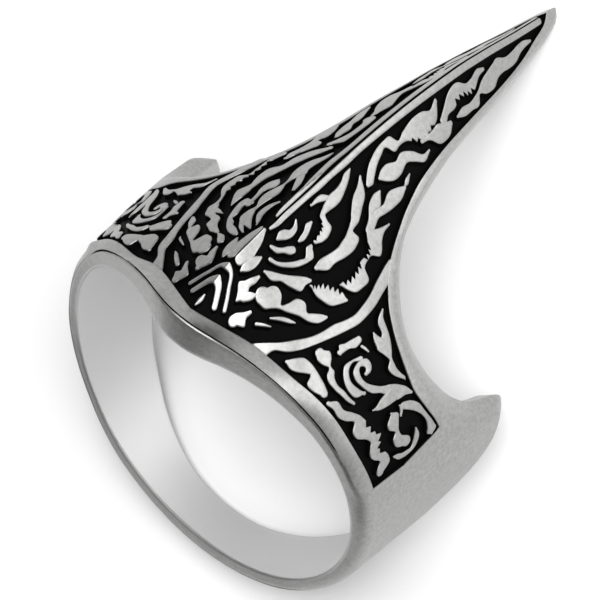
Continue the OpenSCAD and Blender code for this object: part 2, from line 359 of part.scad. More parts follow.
// Outside radius at an angle round the bore (right positive) and a place along it, at full
// height. The head is a roof of two flat slopes, and the strip along the front edge falls off to
// its crease.
function roof(off, y) =
  (curve(y, RIDGE, 1) + head_lift + grow) / (cos(off) + curve(y, RIDGE, 2) * sin(off));
function full_r(angle, y) =
  let (off = abs(angle), k = ease(roof_end, band_start, off),
       fade = 1 - ease(flare_fades[0], flare_fades[1], off),
       spread = flare[angle < 0 ? 1 : 0] * max(0, y) * k * fade)
  (k < 1 ? (1 - k) * roof(off, y) : 0) + k * (curve(off, WALL, 1) + spread + grow);
function outside(angle, y) =
  let (off = abs(angle), f = curve(off, FRONT, 1), fr = curve(off, FRONT, 2) + grow,
       lip = curve(off, FRONT, 3), s = max(0, min(1, (y - f) / (lip - f))),
       lip_r = full_r(angle, lip))
  y < lip ? fr + (lip_r - fr) * s * (3 - s) / 2 : full_r(angle, y);
// Inner radius: the skin within the bore, or the flat under the spike
function inside(off, y) =
  let (k = ease(under_end, under_gone, off))
  max(skin_r, k < 1 ? (1 - k) * (curve(y, UNDER, 1) + grow) / cos(off) + k * skin_r : skin_r);
function place(angle, y, r) = [r * sin(angle), y, r * cos(angle)];
function on_face(g, y, h) =
  let (angle = g / girth_r * 180 / PI) place(angle, y, outside(angle, y) + h);

// Radius of the rim, and the foot of the rear face, where the inner side begins
function rim_r(angle) =
  let (off = abs(angle)) outside(angle, curve(off, REAR, 2)) - curve(off, REAR, 4);
function foot_y(off) =
  let (crest = curve(off, REAR, 2), rim = curve(off, REAR, 3), a = spur_angles,
       cut = spur_bevel * ease(a[0], a[1], off) * (1 - ease(a[2], a[3], off)))
  rim - foot_back * (rim - crest) - cut;
function foot_r(off) = max(inside(off, foot_y(off)), bore_r - foot_sink);

// One section of the ring, as a closed row of points at one angle round the bore
function section(angle) =
  let (off = abs(angle), low = off <= panel_end ? relief : shank_cut,
       f = curve(off, FRONT, 1), fr = curve(off, FRONT, 2) + grow, lip = curve(off, FRONT, 3),
       ground = curve(off, REAR, 1), crest = curve(off, REAR, 2), rim = curve(off, REAR, 3),
       drop = curve(off, REAR, 4), top = outside(angle, crest),
       g0 = lip + wall_run, g1 = ground - wall_run, foot = foot_y(off))
  [for (p = concat(
    [[f, skin_r], [f, fr - front_bevel], [f + front_bevel, fr], [lip, full_r(angle, lip)],
     [g0, full_r(angle, g0) - low]],
    [for (s = ACROSS) let (y = g0 + s * (g1 - g0)) [y, outside(angle, y) - low]],
    [[g1, outside(angle, g1) - low], [ground, outside(angle, ground)], [crest, top],
     [crest + rear_round[0] * (rim - crest), top - rear_round[1] * drop], [rim, rim_r(angle)],
     [foot, foot_r(off)]],
    [for (s = BACK) let (y = foot + s * (f - foot)) [y, inside(off, y)]]))
    place(angle, p[0], p[1])];

function mesh_faces(n, m) = [for (i = [0 : n - 1], j = [0 : m - 1])
  let (a = i * m + j, b = i * m + (j + 1) % m,
       c = ((i + 1) % n) * m + (j + 1) % m, d = ((i + 1) % n) * m + j)
  each [[a, b, c], [a, c, d]]];

module body() {
  last = len(SECTIONS) - 1;
  loops = concat([for (off = SECTIONS) section(off)],
                 [for (i = [last : -1 : 1]) section(-SECTIONS[i])]);
  polyhedron([for (l = loops) each l], mesh_faces(len(loops), len(loops[0])));
}

// The ring lies tipped back, on the tip of its spike and the rear edge of its band.
// tip and heel are the [y, z] of the two places that touch the floor.
tip = [foot_y(0), foot_r(0)];
heel_off = SECTIONS[len(SECTIONS) - 1];
heel = [curve(heel_off, REAR, 3), rim_r(heel_off) * cos(heel_off)];
lean = atan2(tip[1] - heel[1], tip[0] - heel[0]);
module at_rest() {
  points = [for (off = SECTIONS, side = [-1, 1]) each section(side * off)];
  across = [for (p = points) p[0]];
  along = [for (p = points) p[1] * cos(lean) + p[2] * sin(lean)];
  above = [for (p = points) p[2] * cos(lean) - p[1] * sin(lean)];
  rotate([0, 0, 180])
    translate([-(min(across) + max(across)) / 2, -(min(along) + max(along)) / 2, -min(above)])
      rotate([-lean, 0, 0]) children();
}

// Raised piece standing on the ground, from a ladder of rungs, on the right (1) or the left (-1)
module raised(rungs, side) {
  n = len(rungs);
  bottom = -relief - root;
  mids = [for (r = rungs) [(r[0] + r[2]) / 2, (r[1] + r[3]) / 2]];
  turns = [for (i = [0 : n - 2]) cross([rungs[i][2] - rungs[i][0], rungs[i][3] - rungs[i][1]],
                                       mids[i + 1] - mids[i])];
  spin = side * turns * [for (t = turns) 1];
  points = [for (r = rungs) let (a = side * r[0], b = side * r[2])
    each [on_face(a, r[1], 0), on_face(b, r[3], 0),
          on_face(b, r[3], bottom), on_face(a, r[1], bottom)]];
  walls = [for (i = [0 : n - 2], k = [0 : 3])
    let (a = 4 * i + k, b = 4 * i + (k + 1) % 4, c = b + 4, d = a + 4) each [[a, c, b], [a, d, c]]];
  m = 4 * (n - 1);
  faces = concat(walls, [[0, 1, 2], [0, 2, 3], [m, m + 2, m + 1], [m, m + 3, m + 2]]);
  polyhedron(points, spin > 0 ? faces : [for (f = faces) [f[2], f[1], f[0]]]);
}

module ornament() {
  for (rungs = concat(BOTH, PANEL, RIGHT)) raised(rungs, 1);
  for (rungs = concat(BOTH, PANEL, LEFT)) raised(rungs, -1);
  raised(SEED, 1);
}

module ring() {
  color(silver)
    at_rest()
      difference() {
        union() {
          body();
          ornament();
        }
        translate([0, bore_start, 0])
          rotate([-90, 0, 0]) cylinder(h = bore_length, r = bore_r, $fn = bore_sides);
      }
}

ring();
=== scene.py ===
"""An archer's thumb ring, cast in one piece of silver: a plain band, carved shoulders, and a
ridged head that runs out into a long spike. The leaves stand polished on a blackened ground."""
import math

import bmesh
import bpy
import numpy as np
from mathutils import Matrix, Vector


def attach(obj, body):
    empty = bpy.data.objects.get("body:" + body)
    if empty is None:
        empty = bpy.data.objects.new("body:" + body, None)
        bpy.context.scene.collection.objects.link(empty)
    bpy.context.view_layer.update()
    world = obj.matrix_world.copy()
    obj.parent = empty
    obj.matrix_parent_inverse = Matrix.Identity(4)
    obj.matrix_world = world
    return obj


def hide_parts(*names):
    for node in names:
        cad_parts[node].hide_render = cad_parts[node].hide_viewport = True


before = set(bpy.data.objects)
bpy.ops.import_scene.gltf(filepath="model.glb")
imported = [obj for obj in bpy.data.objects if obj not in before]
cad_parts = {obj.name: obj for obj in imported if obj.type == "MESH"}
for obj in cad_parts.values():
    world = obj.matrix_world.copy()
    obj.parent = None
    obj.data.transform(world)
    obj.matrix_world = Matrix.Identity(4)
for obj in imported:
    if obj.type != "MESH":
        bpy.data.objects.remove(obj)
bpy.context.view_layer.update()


# The casting: band, shoulders, head and spike.
# One lost-wax casting in sterling silver, dipped black and rubbed back. It is drawn in mm, as a
# profile at each angle off the top of the finger with the bore along Y, and then laid down.
BORE_R = 10.0
# Depth of the sunk ground under the leaf tops
RELIEF = 0.3
# Angle off the top where the carving ends and the plain flank begins, and the run of that step
PANEL_END, PANEL_STEP = 67.3, 0.4
# Angles between which the roof of the head passes into the round shoulder
ROOF_END, BAND_START = 22, 50
# Angles between which the flat under the spike passes into the bore
UNDER_END, UNDER_GONE = 22, 38
# Radii of the polished edges: of the bore, of the rim, and of leaves and strips
BORE_EDGE, RIM_EDGE, EDGE_R = 0.12, 0.08, 0.05
# Wall of the sunk ground: run from the strip and share of the depth, then where the floor begins
GROUND_WALL = ((0.03, 0.5), (0.05, 0.9))
GROUND_RUN = 0.09
# Spread of the shoulders per mm towards the rear, right and left
FLARE = (0.04, 0.1)
# The left shoulder differs from the right one in mm: its wall is thinner beside the front edge,
# its front face lies further back and is narrower, and its ground begins further forward and
# ends sooner
LEFT_THIN, LEFT_BACK, LEFT_NARROW, LEFT_EARLY, LEFT_SOON = 0.22, 0.1, 0.2, 0.27, 0.2
# Length that the left spur has over the right one, and how far its inner corner is worn away
LEFT_SPUR, LEFT_WORN = 0.5, 0.4
# Ridge: place along the bore, height above the axis, fall of the roof per mm sideways
RIDGE = np.array([
    (-4.2, 11.8, 0.45), (-3.2, 11.95, 0.45), (-2.5, 12.2, 0.48), (-1.4, 12.98, 0.54),
    (-0.5, 13.6, 0.6), (0.8, 14.1, 0.66), (2.3, 14.65, 0.72), (3.8, 15.15, 0.76),
    (5.5, 15.38, 0.8), (8, 15.6, 0.86), (10, 15.9, 0.93), (12.5, 16.15, 0.98),
    (15.5, 16.22, 1.1), (18, 16, 1.14), (20.5, 15.6, 1.12), (24, 15.2, 1.1)])
# Under side of the spike: place along the bore, height above the axis
UNDER = np.array([
    (-5, 9.2), (5, 9.4), (6, 9.7), (8.3, 10.9), (11.8, 12.3), (16, 12.95), (20, 13.3),
    (22, 13.65), (23.8, 14.35), (24.3, 14.85)])
# Front edge: angle off the top, place of the face, radius of its outer crease, where the ground
# begins
FRONT = np.array([
    (0, -4.13, 12.1, -3.2), (8, -3.85, 12.05, -2.5), (14.7, -3.28, 11.82, -1.98),
    (20, -2.84, 11.62, -1.7), (29, -2.2, 11.38, -1.28), (37, -1.72, 11.18, -0.8),
    (45, -1.29, 11.04, -0.38), (54, -0.93, 10.93, -0.05), (66.5, -0.55, 10.82, 0.43),
    (85, -0.2, 10.75, 0.6), (120, 0, 10.68, 0.6), (150, 0, 10.78, 0.5), (180, 0, 10.88, 0.45)])
# Round shoulder and shank: angle off the top, outside radius
WALL = np.array([
    (0, 11.6), (30, 11.45), (45, 11.33), (58, 11.27), (70, 11.17), (85, 11.02), (115, 10.9),
    (150, 10.95), (180, 11)])
# Rear edge: angle off the top, place where the ground ends, place of the crest, place of the rim,
# drop of the rim
REAR = np.array([
    (0, 23.4, 23.95, 24.35, 0.35), (1.4, 22.8, 23.6, 24, 0.35), (2.6, 21.7, 22.8, 23.05, 0.35),
    (4.1, 20.38, 21.05, 21.15, 0.35), (6, 17.94, 18.7, 18.75, 0.35),
    (7.1, 16.07, 17.15, 17.3, 0.45), (8.9, 13.03, 14.35, 14.68, 0.6),
    (10.8, 10.84, 11.95, 12.7, 0.8), (12.9, 9.5, 10.3, 11.1, 0.9), (16.6, 7.91, 8.35, 9.17, 0.9),
    (21.1, 6.47, 6.8, 7.9, 0.9), (27, 5.47, 5.7, 6.97, 0.9), (34, 4.88, 5.05, 6.33, 0.9),
    (41, 4.62, 4.85, 6.08, 0.9), (49, 4.55, 5.2, 6.22, 0.85), (57, 4.96, 5.7, 6.75, 0.8),
    (62, 5.33, 6.2, 7.33, 0.8), (64.5, 5.44, 6.65, 7.75, 0.8), (66, 4.2, 6.95, 8.04, 0.8),
    (68.5, 2.2, 7.6, 8.7, 0.8), (70.5, 2, 8.35, 9.45, 0.8), (72.5, 2, 9.3, 10.42, 0.8),
    (76, 2, 9.85, 11, 0.8), (83, 2, 9.53, 10.63, 0.75), (91, 2, 8.47, 9.47, 0.6),
    (98, 2, 6.95, 7.85, 0.45), (107, 2, 5.55, 6.35, 0.35), (118, 2, 4.75, 5.45, 0.3),
    (133, 2, 4, 4.65, 0.3), (150, 2, 3.05, 3.65, 0.3), (165, 1.9, 2.45, 3.05, 0.3),
    (180, 1.8, 2.25, 2.88, 0.3)])


def curve(x, table, column):
    """Value of a column at x: cubic Hermite through the rows, each slope the mean of its two
    neighbours weighted by their runs, nought at a peak and at most three times the gentler."""
    t, v = table[:, 0], table[:, column]
    run, rise = np.diff(t), np.diff(v) / np.diff(t)
    a, b = rise[:-1], rise[1:]
    mean = (a * run[1:] + b * run[:-1]) / (run[1:] + run[:-1])
    most = 3 * np.minimum(np.abs(a), np.abs(b))
    inner = np.where(a * b <= 0, 0, np.clip(mean, -most, most))
    slope = np.concatenate([rise[:1], inner, rise[-1:]])
    q = np.clip(x, t[0], t[-1])
    i = np.clip(np.searchsorted(t, q, side="right") - 1, 0, len(t) - 2)
    s = (q - t[i]) / run[i]
    return ((1 + 2 * s) * (1 - s) ** 2 * v[i] + s * (1 - s) ** 2 * run[i] * slope[i]
            + s * s * (3 - 2 * s) * v[i + 1] - s * s * (1 - s) * run[i] * slope[i + 1])


def ease(a, b, x):
    """Smooth step from nought at a to one at b: s squared times three less twice s."""
    s = np.clip((x - a) / (b - a), 0, 1)
    return s * s * (3 - 2 * s)


def between(a, b, c, d, x):
    """Smooth hump: nought up to a, one from b to c, nought again from d."""
    return ease(a, b, x) * (1 - ease(c, d, x))


def full_r(angle, y):
    """Radius over the leaf tops. Near the top it is the roof's flat slope, the ridge's height over
    the cosine plus its fall times the sine of the angle; past it the round shoulder, spreading in
    proportion to y."""
    off = np.abs(angle)
    low = np.radians(np.minimum(off, 80))
    roof = curve(y, RIDGE, 1) / (np.cos(low) + curve(y, RIDGE, 2) * np.sin(low))
    k = ease(ROOF_END, BAND_START, off)
    flare = np.where(angle < 0, FLARE[1], FLARE[0])
    spread = flare * np.maximum(0, y) * k * (1 - ease(80, 125, off))
    thin = LEFT_THIN * (angle < 0) * between(54, 64, 84, 100, off) * (1 - ease(0.5, 3.5, y))
    return (1 - k) * roof + k * (curve(off, WALL, 1) + spread - thin)


def front(angle):
    """Place of the front face, radius of its crease and place where the ground begins, from the
    table. The first two are rounded off at the top, where the two halves of the lip meet."""
    off = np.abs(angle)
    round_off = off * ease(0, 8, off)
    down = (angle < 0) * between(40, 62, 120, 150, off)
    panel = (angle < 0) * between(18, 28, 70, 90, off)
    return (curve(round_off, FRONT, 1) + LEFT_BACK * down,
            curve(round_off, FRONT, 2) - LEFT_NARROW * down,
            curve(off, FRONT, 3) - LEFT_EARLY * panel)


def outside(angle, y):
    """Radius over the leaf tops, with the strip along the front edge falling to its crease as a
    square of the way s across it; beside the plain flank it passes into that without an edge."""
    face, crease, lip = front(angle)
    s = np.clip((y - face) / (lip - face), 0, 1)
    k = ease(PANEL_END - 2, PANEL_END + 6, np.abs(angle))
    strip = crease + (full_r(angle, lip) - crease) * s * ((1 - k) * (3 - s) / 2 + k * (2 - s))
    return np.where(y < lip, strip, full_r(angle, y))


def inside(off, y):
    """Radius of the bore, or of the flat under the spike where that stands clear of it: the
    flat's height over the cosine of the angle."""
    k = ease(UNDER_END, UNDER_GONE, off)
    flat = curve(y, UNDER, 1) / np.cos(np.radians(np.minimum(off, UNDER_GONE)))
    return np.maximum(BORE_R, (1 - k) * flat + k * (BORE_R - 0.5))


# The ring lies tipped back on the tip of its spike and the rear edge of its band: its lean, the
# shifts that put its footprint in the middle, and its lowest height before it is set down, in mm
LEAN = math.radians(49.9698)
SIDEWAYS, MIDDLE, FLOOR = -0.2799, 9.48339, -9.11505


def laid(angle, y, r):
    """Point at an angle round the bore (degrees, right positive), y along it and r from it, turned
    to the resting pose: leaned back about X, turned half round, and given in metres."""
    x, z = r * np.sin(np.radians(angle)), r * np.cos(np.radians(angle))
    along = y * math.cos(LEAN) + z * math.sin(LEAN)
    above = z * math.cos(LEAN) - y * math.sin(LEAN)
    return np.stack([SIDEWAYS - x, MIDDLE - along, above - FLOOR], axis=-1) / 1000


def cast_piece(name, points, faces, attributes, material, sharp):
    """A closed mesh from points, quads and per-point attributes. Doubled points are merged, the
    faces are turned outwards, and edges sharper than the given angle stay crisp."""
    weld, speck = 2e-8, 1e-9
    mesh = bpy.data.meshes.new(name)
    mesh.from_pydata(points.reshape(-1, 3).tolist(), [], faces.tolist())
    for key, values in attributes.items():
        mesh.attributes.new(key, "FLOAT", "POINT").data.foreach_set("value", values.ravel())
    work = bmesh.new()
    work.from_mesh(mesh)
    bmesh.ops.remove_doubles(work, verts=work.verts, dist=weld)
    bmesh.ops.dissolve_degenerate(work, edges=work.edges, dist=speck)
    bmesh.ops.recalc_face_normals(work, faces=work.faces)
    work.to_mesh(mesh)
    work.free()
    mesh.shade_smooth()
    mesh.set_sharp_from_angle(angle=math.radians(sharp))
    mesh.materials.append(material)
    made = bpy.data.objects.new(name, mesh)
    bpy.context.collection.objects.link(made)
    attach(made, "root")
    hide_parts("ring")


def wrapped_quads(rows, columns, close_rows):
    """Quads of a grid whose columns close on themselves, and whose rows may: corners at row i and
    i + 1, column j and j + 1."""
    i, j = np.meshgrid(np.arange(rows if close_rows else rows - 1), np.arange(columns),
                       indexing="ij")
    i, j = i.ravel(), j.ravel()
    down, right = (i + 1) % rows, (j + 1) % columns
    return np.stack([i * columns + j, i * columns + right, down * columns + right,
                     down * columns + j], axis=1)


def colour(code):
    """sRGB hex to linear RGBA: each channel over 12.92 where it is dark, and elsewhere its sum with
    0.055, over 1.055, to the power 2.4."""
    c = np.array([int(code[k:k + 2], 16) for k in (1, 3, 5)]) / 255
    c = np.where(c <= 0.04045, c / 12.92, ((c + 0.055) / 1.055) ** 2.4)
    return (*c.tolist(), 1.0)


def node(tree, kind, settings=None, links=None):
    """One shader node with its settings and the sockets linked to its inputs."""
    made = tree.nodes.new(kind)
    for key, value in (settings or {}).items():
        if isinstance(key, int) or key in made.inputs:
            made.inputs[key].default_value = value
        else:
            setattr(made, key, value)
    for key, source in (links or {}).items():
        tree.links.new(source, made.inputs[key])
    return made


def oxidised_silver():
    """Sterling silver that was dipped black and then rubbed back. The raised silver is a bright
    metal with a fine satin grain; the sunk ground keeps a thin matt black film of sulphide. A
    point turns black as its depth mark, give or take an eighth by cloudiness, passes 0.12 to 0.5,
    and there it loses its metal. The bore's paler colour is painted light, and the black in the
    small groove at the front crease is painted shade."""
    # Object coordinates are in metres, so a pattern's scale is its patches per mm times this
    per_mm = 1000.0
    made = bpy.data.materials.new("oxidised sterling silver")
    made.use_nodes = True
    tree = made.node_tree
    tree.nodes.clear()
    place = node(tree, "ShaderNodeTexCoord").outputs["Object"]
    depth = node(tree, "ShaderNodeAttribute", {"attribute_name": "depth"}).outputs["Fac"]
    bore = node(tree, "ShaderNodeAttribute", {"attribute_name": "bore"}).outputs["Fac"]
    # Cloudiness of the black film, patches 0.4 mm across, which frays its edge
    cloud = node(tree, "ShaderNodeTexNoise",
                 {"Scale": 2.5 * per_mm, "Detail": 3.0, "Roughness": 0.6},
                 {"Vector": place}).outputs["Fac"]
    edge = node(tree, "ShaderNodeMath", {"operation": "MULTIPLY_ADD", 1: 0.25, 2: -0.125},
                {0: cloud}).outputs[0]
    worn = node(tree, "ShaderNodeMath", {"operation": "ADD"}, {0: depth, 1: edge}).outputs[0]
    black = node(tree, "ShaderNodeMapRange", {"interpolation_type": "SMOOTHSTEP",
                                              "From Min": 0.12, "From Max": 0.5},
                 {"Value": worn}).outputs["Result"]
    # Uneven satin, patches 0.24 mm across where the wheel took a little more. The bore is less
    # polished, and its paler colour is painted light, standing in for the bright reflection in it.
    # A mix node's sockets go by number: 0 is the share, 2 and 3 hold numbers, 6 and 7 hold colours
    patch = node(tree, "ShaderNodeTexNoise",
                 {"Scale": 4.2 * per_mm, "Detail": 4.0, "Roughness": 0.65},
                 {"Vector": place}).outputs["Fac"]
    uneven = node(tree, "ShaderNodeMapRange", {"From Min": 0.25, "From Max": 0.75},
                  {"Value": patch}).outputs["Result"]
    silver = node(tree, "ShaderNodeMix", {"data_type": "RGBA", 6: colour("#A4A4A3"),
                                          7: colour("#8A8A89")}, {0: uneven}).outputs[2]
    # Painted light: where the bore mark is, the colour turns to a paler silver
    silver_and_painted_bore_light = node(tree, "ShaderNodeMix", {"data_type": "RGBA", 7: colour("#DADADA")},
                      {0: bore, 6: silver}).outputs[2]
    base = node(tree, "ShaderNodeMix", {"data_type": "RGBA", 7: colour("#030303")},
                {0: black, 6: silver_and_painted_bore_light}).outputs[2]
    satin = node(tree, "ShaderNodeMapRange", {"To Min": 0.36, "To Max": 0.55},
                 {"Value": bore}).outputs["Result"]
    rough = node(tree, "ShaderNodeMix", {"data_type": "FLOAT", 3: 0.7},
                 {0: black, 2: satin}).outputs[0]
    metal = node(tree, "ShaderNodeMapRange", {"To Min": 1.0, "To Max": 0.0},
                 {"Value": black}).outputs["Result"]
    # Satin grain left by the polishing wheel. The real grain, about 0.02 mm, is too fine to show,
    # so it is drawn at 0.08 mm
    grain = node(tree, "ShaderNodeTexNoise",
                 {"Scale": 12.0 * per_mm, "Detail": 4.0, "Roughness": 0.7},
                 {"Vector": place}).outputs["Fac"]
    # Soft waviness of a hand-filed casting, about 1.5 mm
    wave = node(tree, "ShaderNodeTexNoise", {"Scale": 0.65 * per_mm, "Detail": 1.0},
                {"Vector": place}).outputs["Fac"]
    height = node(tree, "ShaderNodeMath", {"operation": "MULTIPLY_ADD", 1: 12.0},
                  {0: wave, 2: grain}).outputs[0]
    bump = node(tree, "ShaderNodeBump", {"Strength": 0.35, "Distance": 0.000004},
                {"Height": height}).outputs["Normal"]
    shader = node(tree, "ShaderNodeBsdfPrincipled", {"Specular IOR Level": 0.04},
                  {"Base Color": base, "Metallic": metal, "Roughness": rough, "Normal": bump})
    node(tree, "ShaderNodeOutputMaterial", {}, {"Surface": shader.outputs[0]})
    return made


silver = oxidised_silver()


def quarter_turn(steps):
    """Sine and one less the cosine over a quarter turn in equal steps, as columns."""
    a = np.radians(np.linspace(0, 90, steps))[:, None]
    return np.sin(a), 1 - np.cos(a)


def shares(*values):
    """Shares of the way as a column, one row of the profile each."""
    return np.array(values)[:, None]


def sections(angle):
    """The closed profile at each angle, from the rear of the bore forward along it, over the front
    face and its crease, across the strip, the sunk ground and the rear strip, and down the rear
    face. A stretch runs straight by shares of the way between its ends, or follows outside or
    inside. Returns y, r, depth of black and bore mark, one row of points per angle. The bore mark
    makes the finish rougher and paints the colour paler, as painted light."""
    off = np.abs(angle)
    left = angle < 0
    face, crease, lip = front(angle)
    stop, crest, rim, drop = (curve(off, REAR, k) for k in (1, 2, 3, 4))
    spur = LEFT_SPUR * left * between(62, 71, 82, 94, off)
    crest, rim = crest + spur, rim + spur
    stop = stop - LEFT_SOON * left * between(44, 52, 64.5, 66.5, off)
    low = RELIEF * (1 - ease(PANEL_END, PANEL_END + PANEL_STEP, off))
    black = np.minimum(1, 3 * low / RELIEF)
    # The rear face, undercut at the spurs, is carried 0.3 mm under the bore; the share of its
    # way to the rim at which it crosses the bore gives the rear corner
    worn = left * between(66, 74, 86, 98, off)
    foot = rim - 0.3 * (rim - crest) - 0.5 * between(57, 68, 76, 100, off)
    foot_r = inside(off, foot)
    foot_r = foot_r - 0.3 * (foot_r <= BORE_R)
    rim_r = outside(angle, crest) - drop
    crossing = np.clip((BORE_R - foot_r) / (rim_r - foot_r), 0, 1)
    back_y = foot + crossing * (rim - foot) - LEFT_WORN * worn
    back_r = np.maximum(foot_r, BORE_R)
    rows = []

    def add(y, r, dark=0.0, bored=0.0):
        """Rows of the profile, each with a value at every angle."""
        rows.append(np.broadcast_arrays(y, r, dark, bored, np.zeros((1, len(off))))[:4])

    # Low on the right the face (42 degrees of turn), crease (12) and strip (36) are worn to one
    # rounding
    soft = (angle > 0) * between(62, 76, 115, 145, off)
    edge_r = BORE_R + BORE_EDGE

    def add_front(turn, y, r, dark=0.0):
        """Rows of the front edge, drawn towards the rounding by the share soft. The rounding has
        cosine and sine of the turn to the power 0.8, a little fuller than a circle."""
        across, up = np.cos(np.radians(turn)) ** 0.8, np.sin(np.radians(turn)) ** 0.8
        round_y = face + (lip - face) * (1 - across)
        round_r = edge_r + (full_r(angle, lip) - edge_r) * up
        add(y + soft * (round_y - y), r + soft * (round_r - r), dark)

    # The bore and its front edge, painted paler as painted light by a bore mark of 1 and 0.5
    y = back_y + np.linspace(0.02, 0.99, 26)[:, None] * (face - back_y)
    add(y, inside(off, y), 0, 1)
    a, b = quarter_turn(5)
    add(face + BORE_EDGE * (1 - a), BORE_R + BORE_EDGE * b, 0, 0.5)
    # Front face, up to 0.1 mm under its crease
    s = np.linspace(0.1, 0.9, 5)[:, None]
    add_front(42 * s, face, edge_r + s * (crease - 0.1 - edge_r))
    # Crease, with a groove 0.07 mm wide near the top whose black is painted shade, a shadow line
    # along the crease: turn, way back, share of the groove's width, way down, share of that width
    # down, share of painted black
    notch = 1 - ease(42, 60, off)
    groove = 0.07 * notch
    turn, back, widen, down, sink, dark = np.array([
        (42, 0.01, 0, 0.12, 0, 0), (46, 0.03, 0.5, 0.07, 0, 0.2), (50, 0.05, 1, 0.035, 0, 0.9),
        (54, 0.08, 1, 0.01, 0.3, 0.9)]).T[..., None]
    add_front(turn, face + back + widen * groove, crease - down - sink * groove, dark * notch)
    # Strip along the front edge
    s = shares(0.12, 0.2, 0.3, 0.42, 0.55, 0.7, 0.85, 0.94)
    y = face + s * (lip - face)
    add_front(54 + 36 * s, y, outside(angle, y))
    # Sunk ground between its two walls; the film frays out over their rounded edges
    a, b = quarter_turn(4)
    y = lip - EDGE_R + EDGE_R * a
    add(y, outside(angle, y) - np.minimum(low, EDGE_R) * b, 0.4 * b * black)
    for run, share in GROUND_WALL:
        add(lip + run, full_r(angle, lip) - low * share, black)
    y = lip + GROUND_RUN + np.linspace(0, 1, 34)[:, None] * (stop - lip - 2 * GROUND_RUN)
    add(y, outside(angle, y) - low, black)
    for run, share in GROUND_WALL[::-1]:
        add(stop - run, outside(angle, stop) - low * share, black)
    a, b = a[::-1], b[::-1]
    add(stop + EDGE_R - EDGE_R * a, outside(angle, stop) - np.minimum(low, EDGE_R) * b,
        0.4 * b * black)
    # Rear strip, falling from its crest to the rim as a power of the way s
    y = stop + shares(0.35, 0.7) * (crest - stop)
    add(y, outside(angle, y))
    bend = 2 - 0.7 * between(36, 50, 80, 98, off)
    s = shares(0, 0.05, 0.12, 0.22, 0.35, 0.5, 0.65, 0.8, 0.9, 0.96)
    add(crest + s * (rim - crest), rim_r + drop * (1 - s ** bend))
    # Rim, and rear face, which bulges where its inner corner is worn; a bore mark of 0.3 paints the
    # rear face a little paler, as painted light
    s = shares(0.25, 0.6, 1)
    rim_back = rim - 0.3 * RIM_EDGE
    add(rim - 0.3 * RIM_EDGE * s * s, rim_r - RIM_EDGE * s)
    s = shares(0.2, 0.4, 0.6, 0.78, 0.9, 0.97)
    add(rim_back + s * (back_y - rim_back) + 0.7 * worn * s * (1 - s),
        rim_r - RIM_EDGE + s * (back_r - rim_r + RIM_EDGE), 0, 0.3)
    return [np.concatenate(part).T for part in zip(*rows)]


# Angles of the profiles in degrees: close on the ridge, on the step at the panel's end and on
# the spurs, and wide round the shank
panel_steps = PANEL_END + np.array([-0.45, -0.2, -0.05, 0.03, 0.1, 0.2, 0.3, 0.37, 0.45])
half_round = np.concatenate([np.arange(0, 20, 0.25), np.arange(20, PANEL_END - 0.6, 0.5),
                             panel_steps, np.arange(PANEL_END + 0.8, 84, 0.4),
                             np.arange(84, 179.5, 1.3)])
angles = np.concatenate([half_round, 360 - half_round[:0:-1]])
angles = np.where(angles > 180, angles - 360, angles)
profile_y, profile_r, depth, bored = sections(angles)
cast_piece("band_head_and_spike", laid(angles[:, None], profile_y, profile_r),
           wrapped_quads(*profile_y.shape, True), {"depth": depth, "bore": bored}, silver, sharp=35)


# Leaves and strips of the right side: head, spike and shoulder panel.
# Part of the same casting: their flat tops were left standing when the ground was sunk, and
# polishing softened their edges. The black film ends on their walls.

# Depth of their root in the ground, length of a step along a leaf, fewest and most steps
ROOT, STEP, FEWEST, MOST = 0.15, 0.04, 14, 100
# Radius at which the way round from the ridge is measured
GIRTH_R = 12.0
# Places across a leaf, from its left edge to its right
ACROSS = np.array([-1, -0.96, -0.88, -0.7, -0.35, 0, 0.35, 0.7, 0.88, 0.96, 1])
# Walls of a leaf: side, run from the edge and share of the depth
LEAF_WALL = np.array([(1, 0.02, 0.5), (1, 0.05, 1), (-1, 0.05, 1), (-1, 0.02, 0.5)])
# On the left the shoulder's leaves sit this far forward and the strip this much nearer the ridge
LEFT_FORWARD, LEFT_NEARER = 0.25, 0.35


def through(knots, rows, t):
    """Smooth curve through rows of values at the knots: cubic Hermite, each slope the mean of its
    two neighbours weighted by their runs."""
    run = np.diff(knots)[:, None]
    rise = np.diff(rows, axis=0) / run
    inner = (rise[:-1] * run[1:] + rise[1:] * run[:-1]) / (run[1:] + run[:-1])
    slope = np.concatenate([rise[:1], inner, rise[-1:]])
    i = np.clip(np.searchsorted(knots, t, side="right") - 1, 0, len(run) - 1)
    h = run[i]
    s = (t - knots[i])[:, None] / h
    return ((1 + 2 * s) * (1 - s) ** 2 * rows[i] + s * (1 - s) ** 2 * h * slope[i]
            + s * s * (3 - 2 * s) * rows[i + 1] - s * s * (1 - s) * h * slope[i + 1])


def toothed(place, first, last, teeth):
    """Height of saw teeth, nought to one, at a place counted in rungs between first and last: each
    tooth rises slowly and falls fast."""
    share = (place - first) / (last - first)
    phase = (share * teeth) % 1
    saw = np.where(phase < 0.7, phase / 0.7, (1 - phase) / 0.3)
    return np.where((share > 0) & (share < 1), saw, 0)


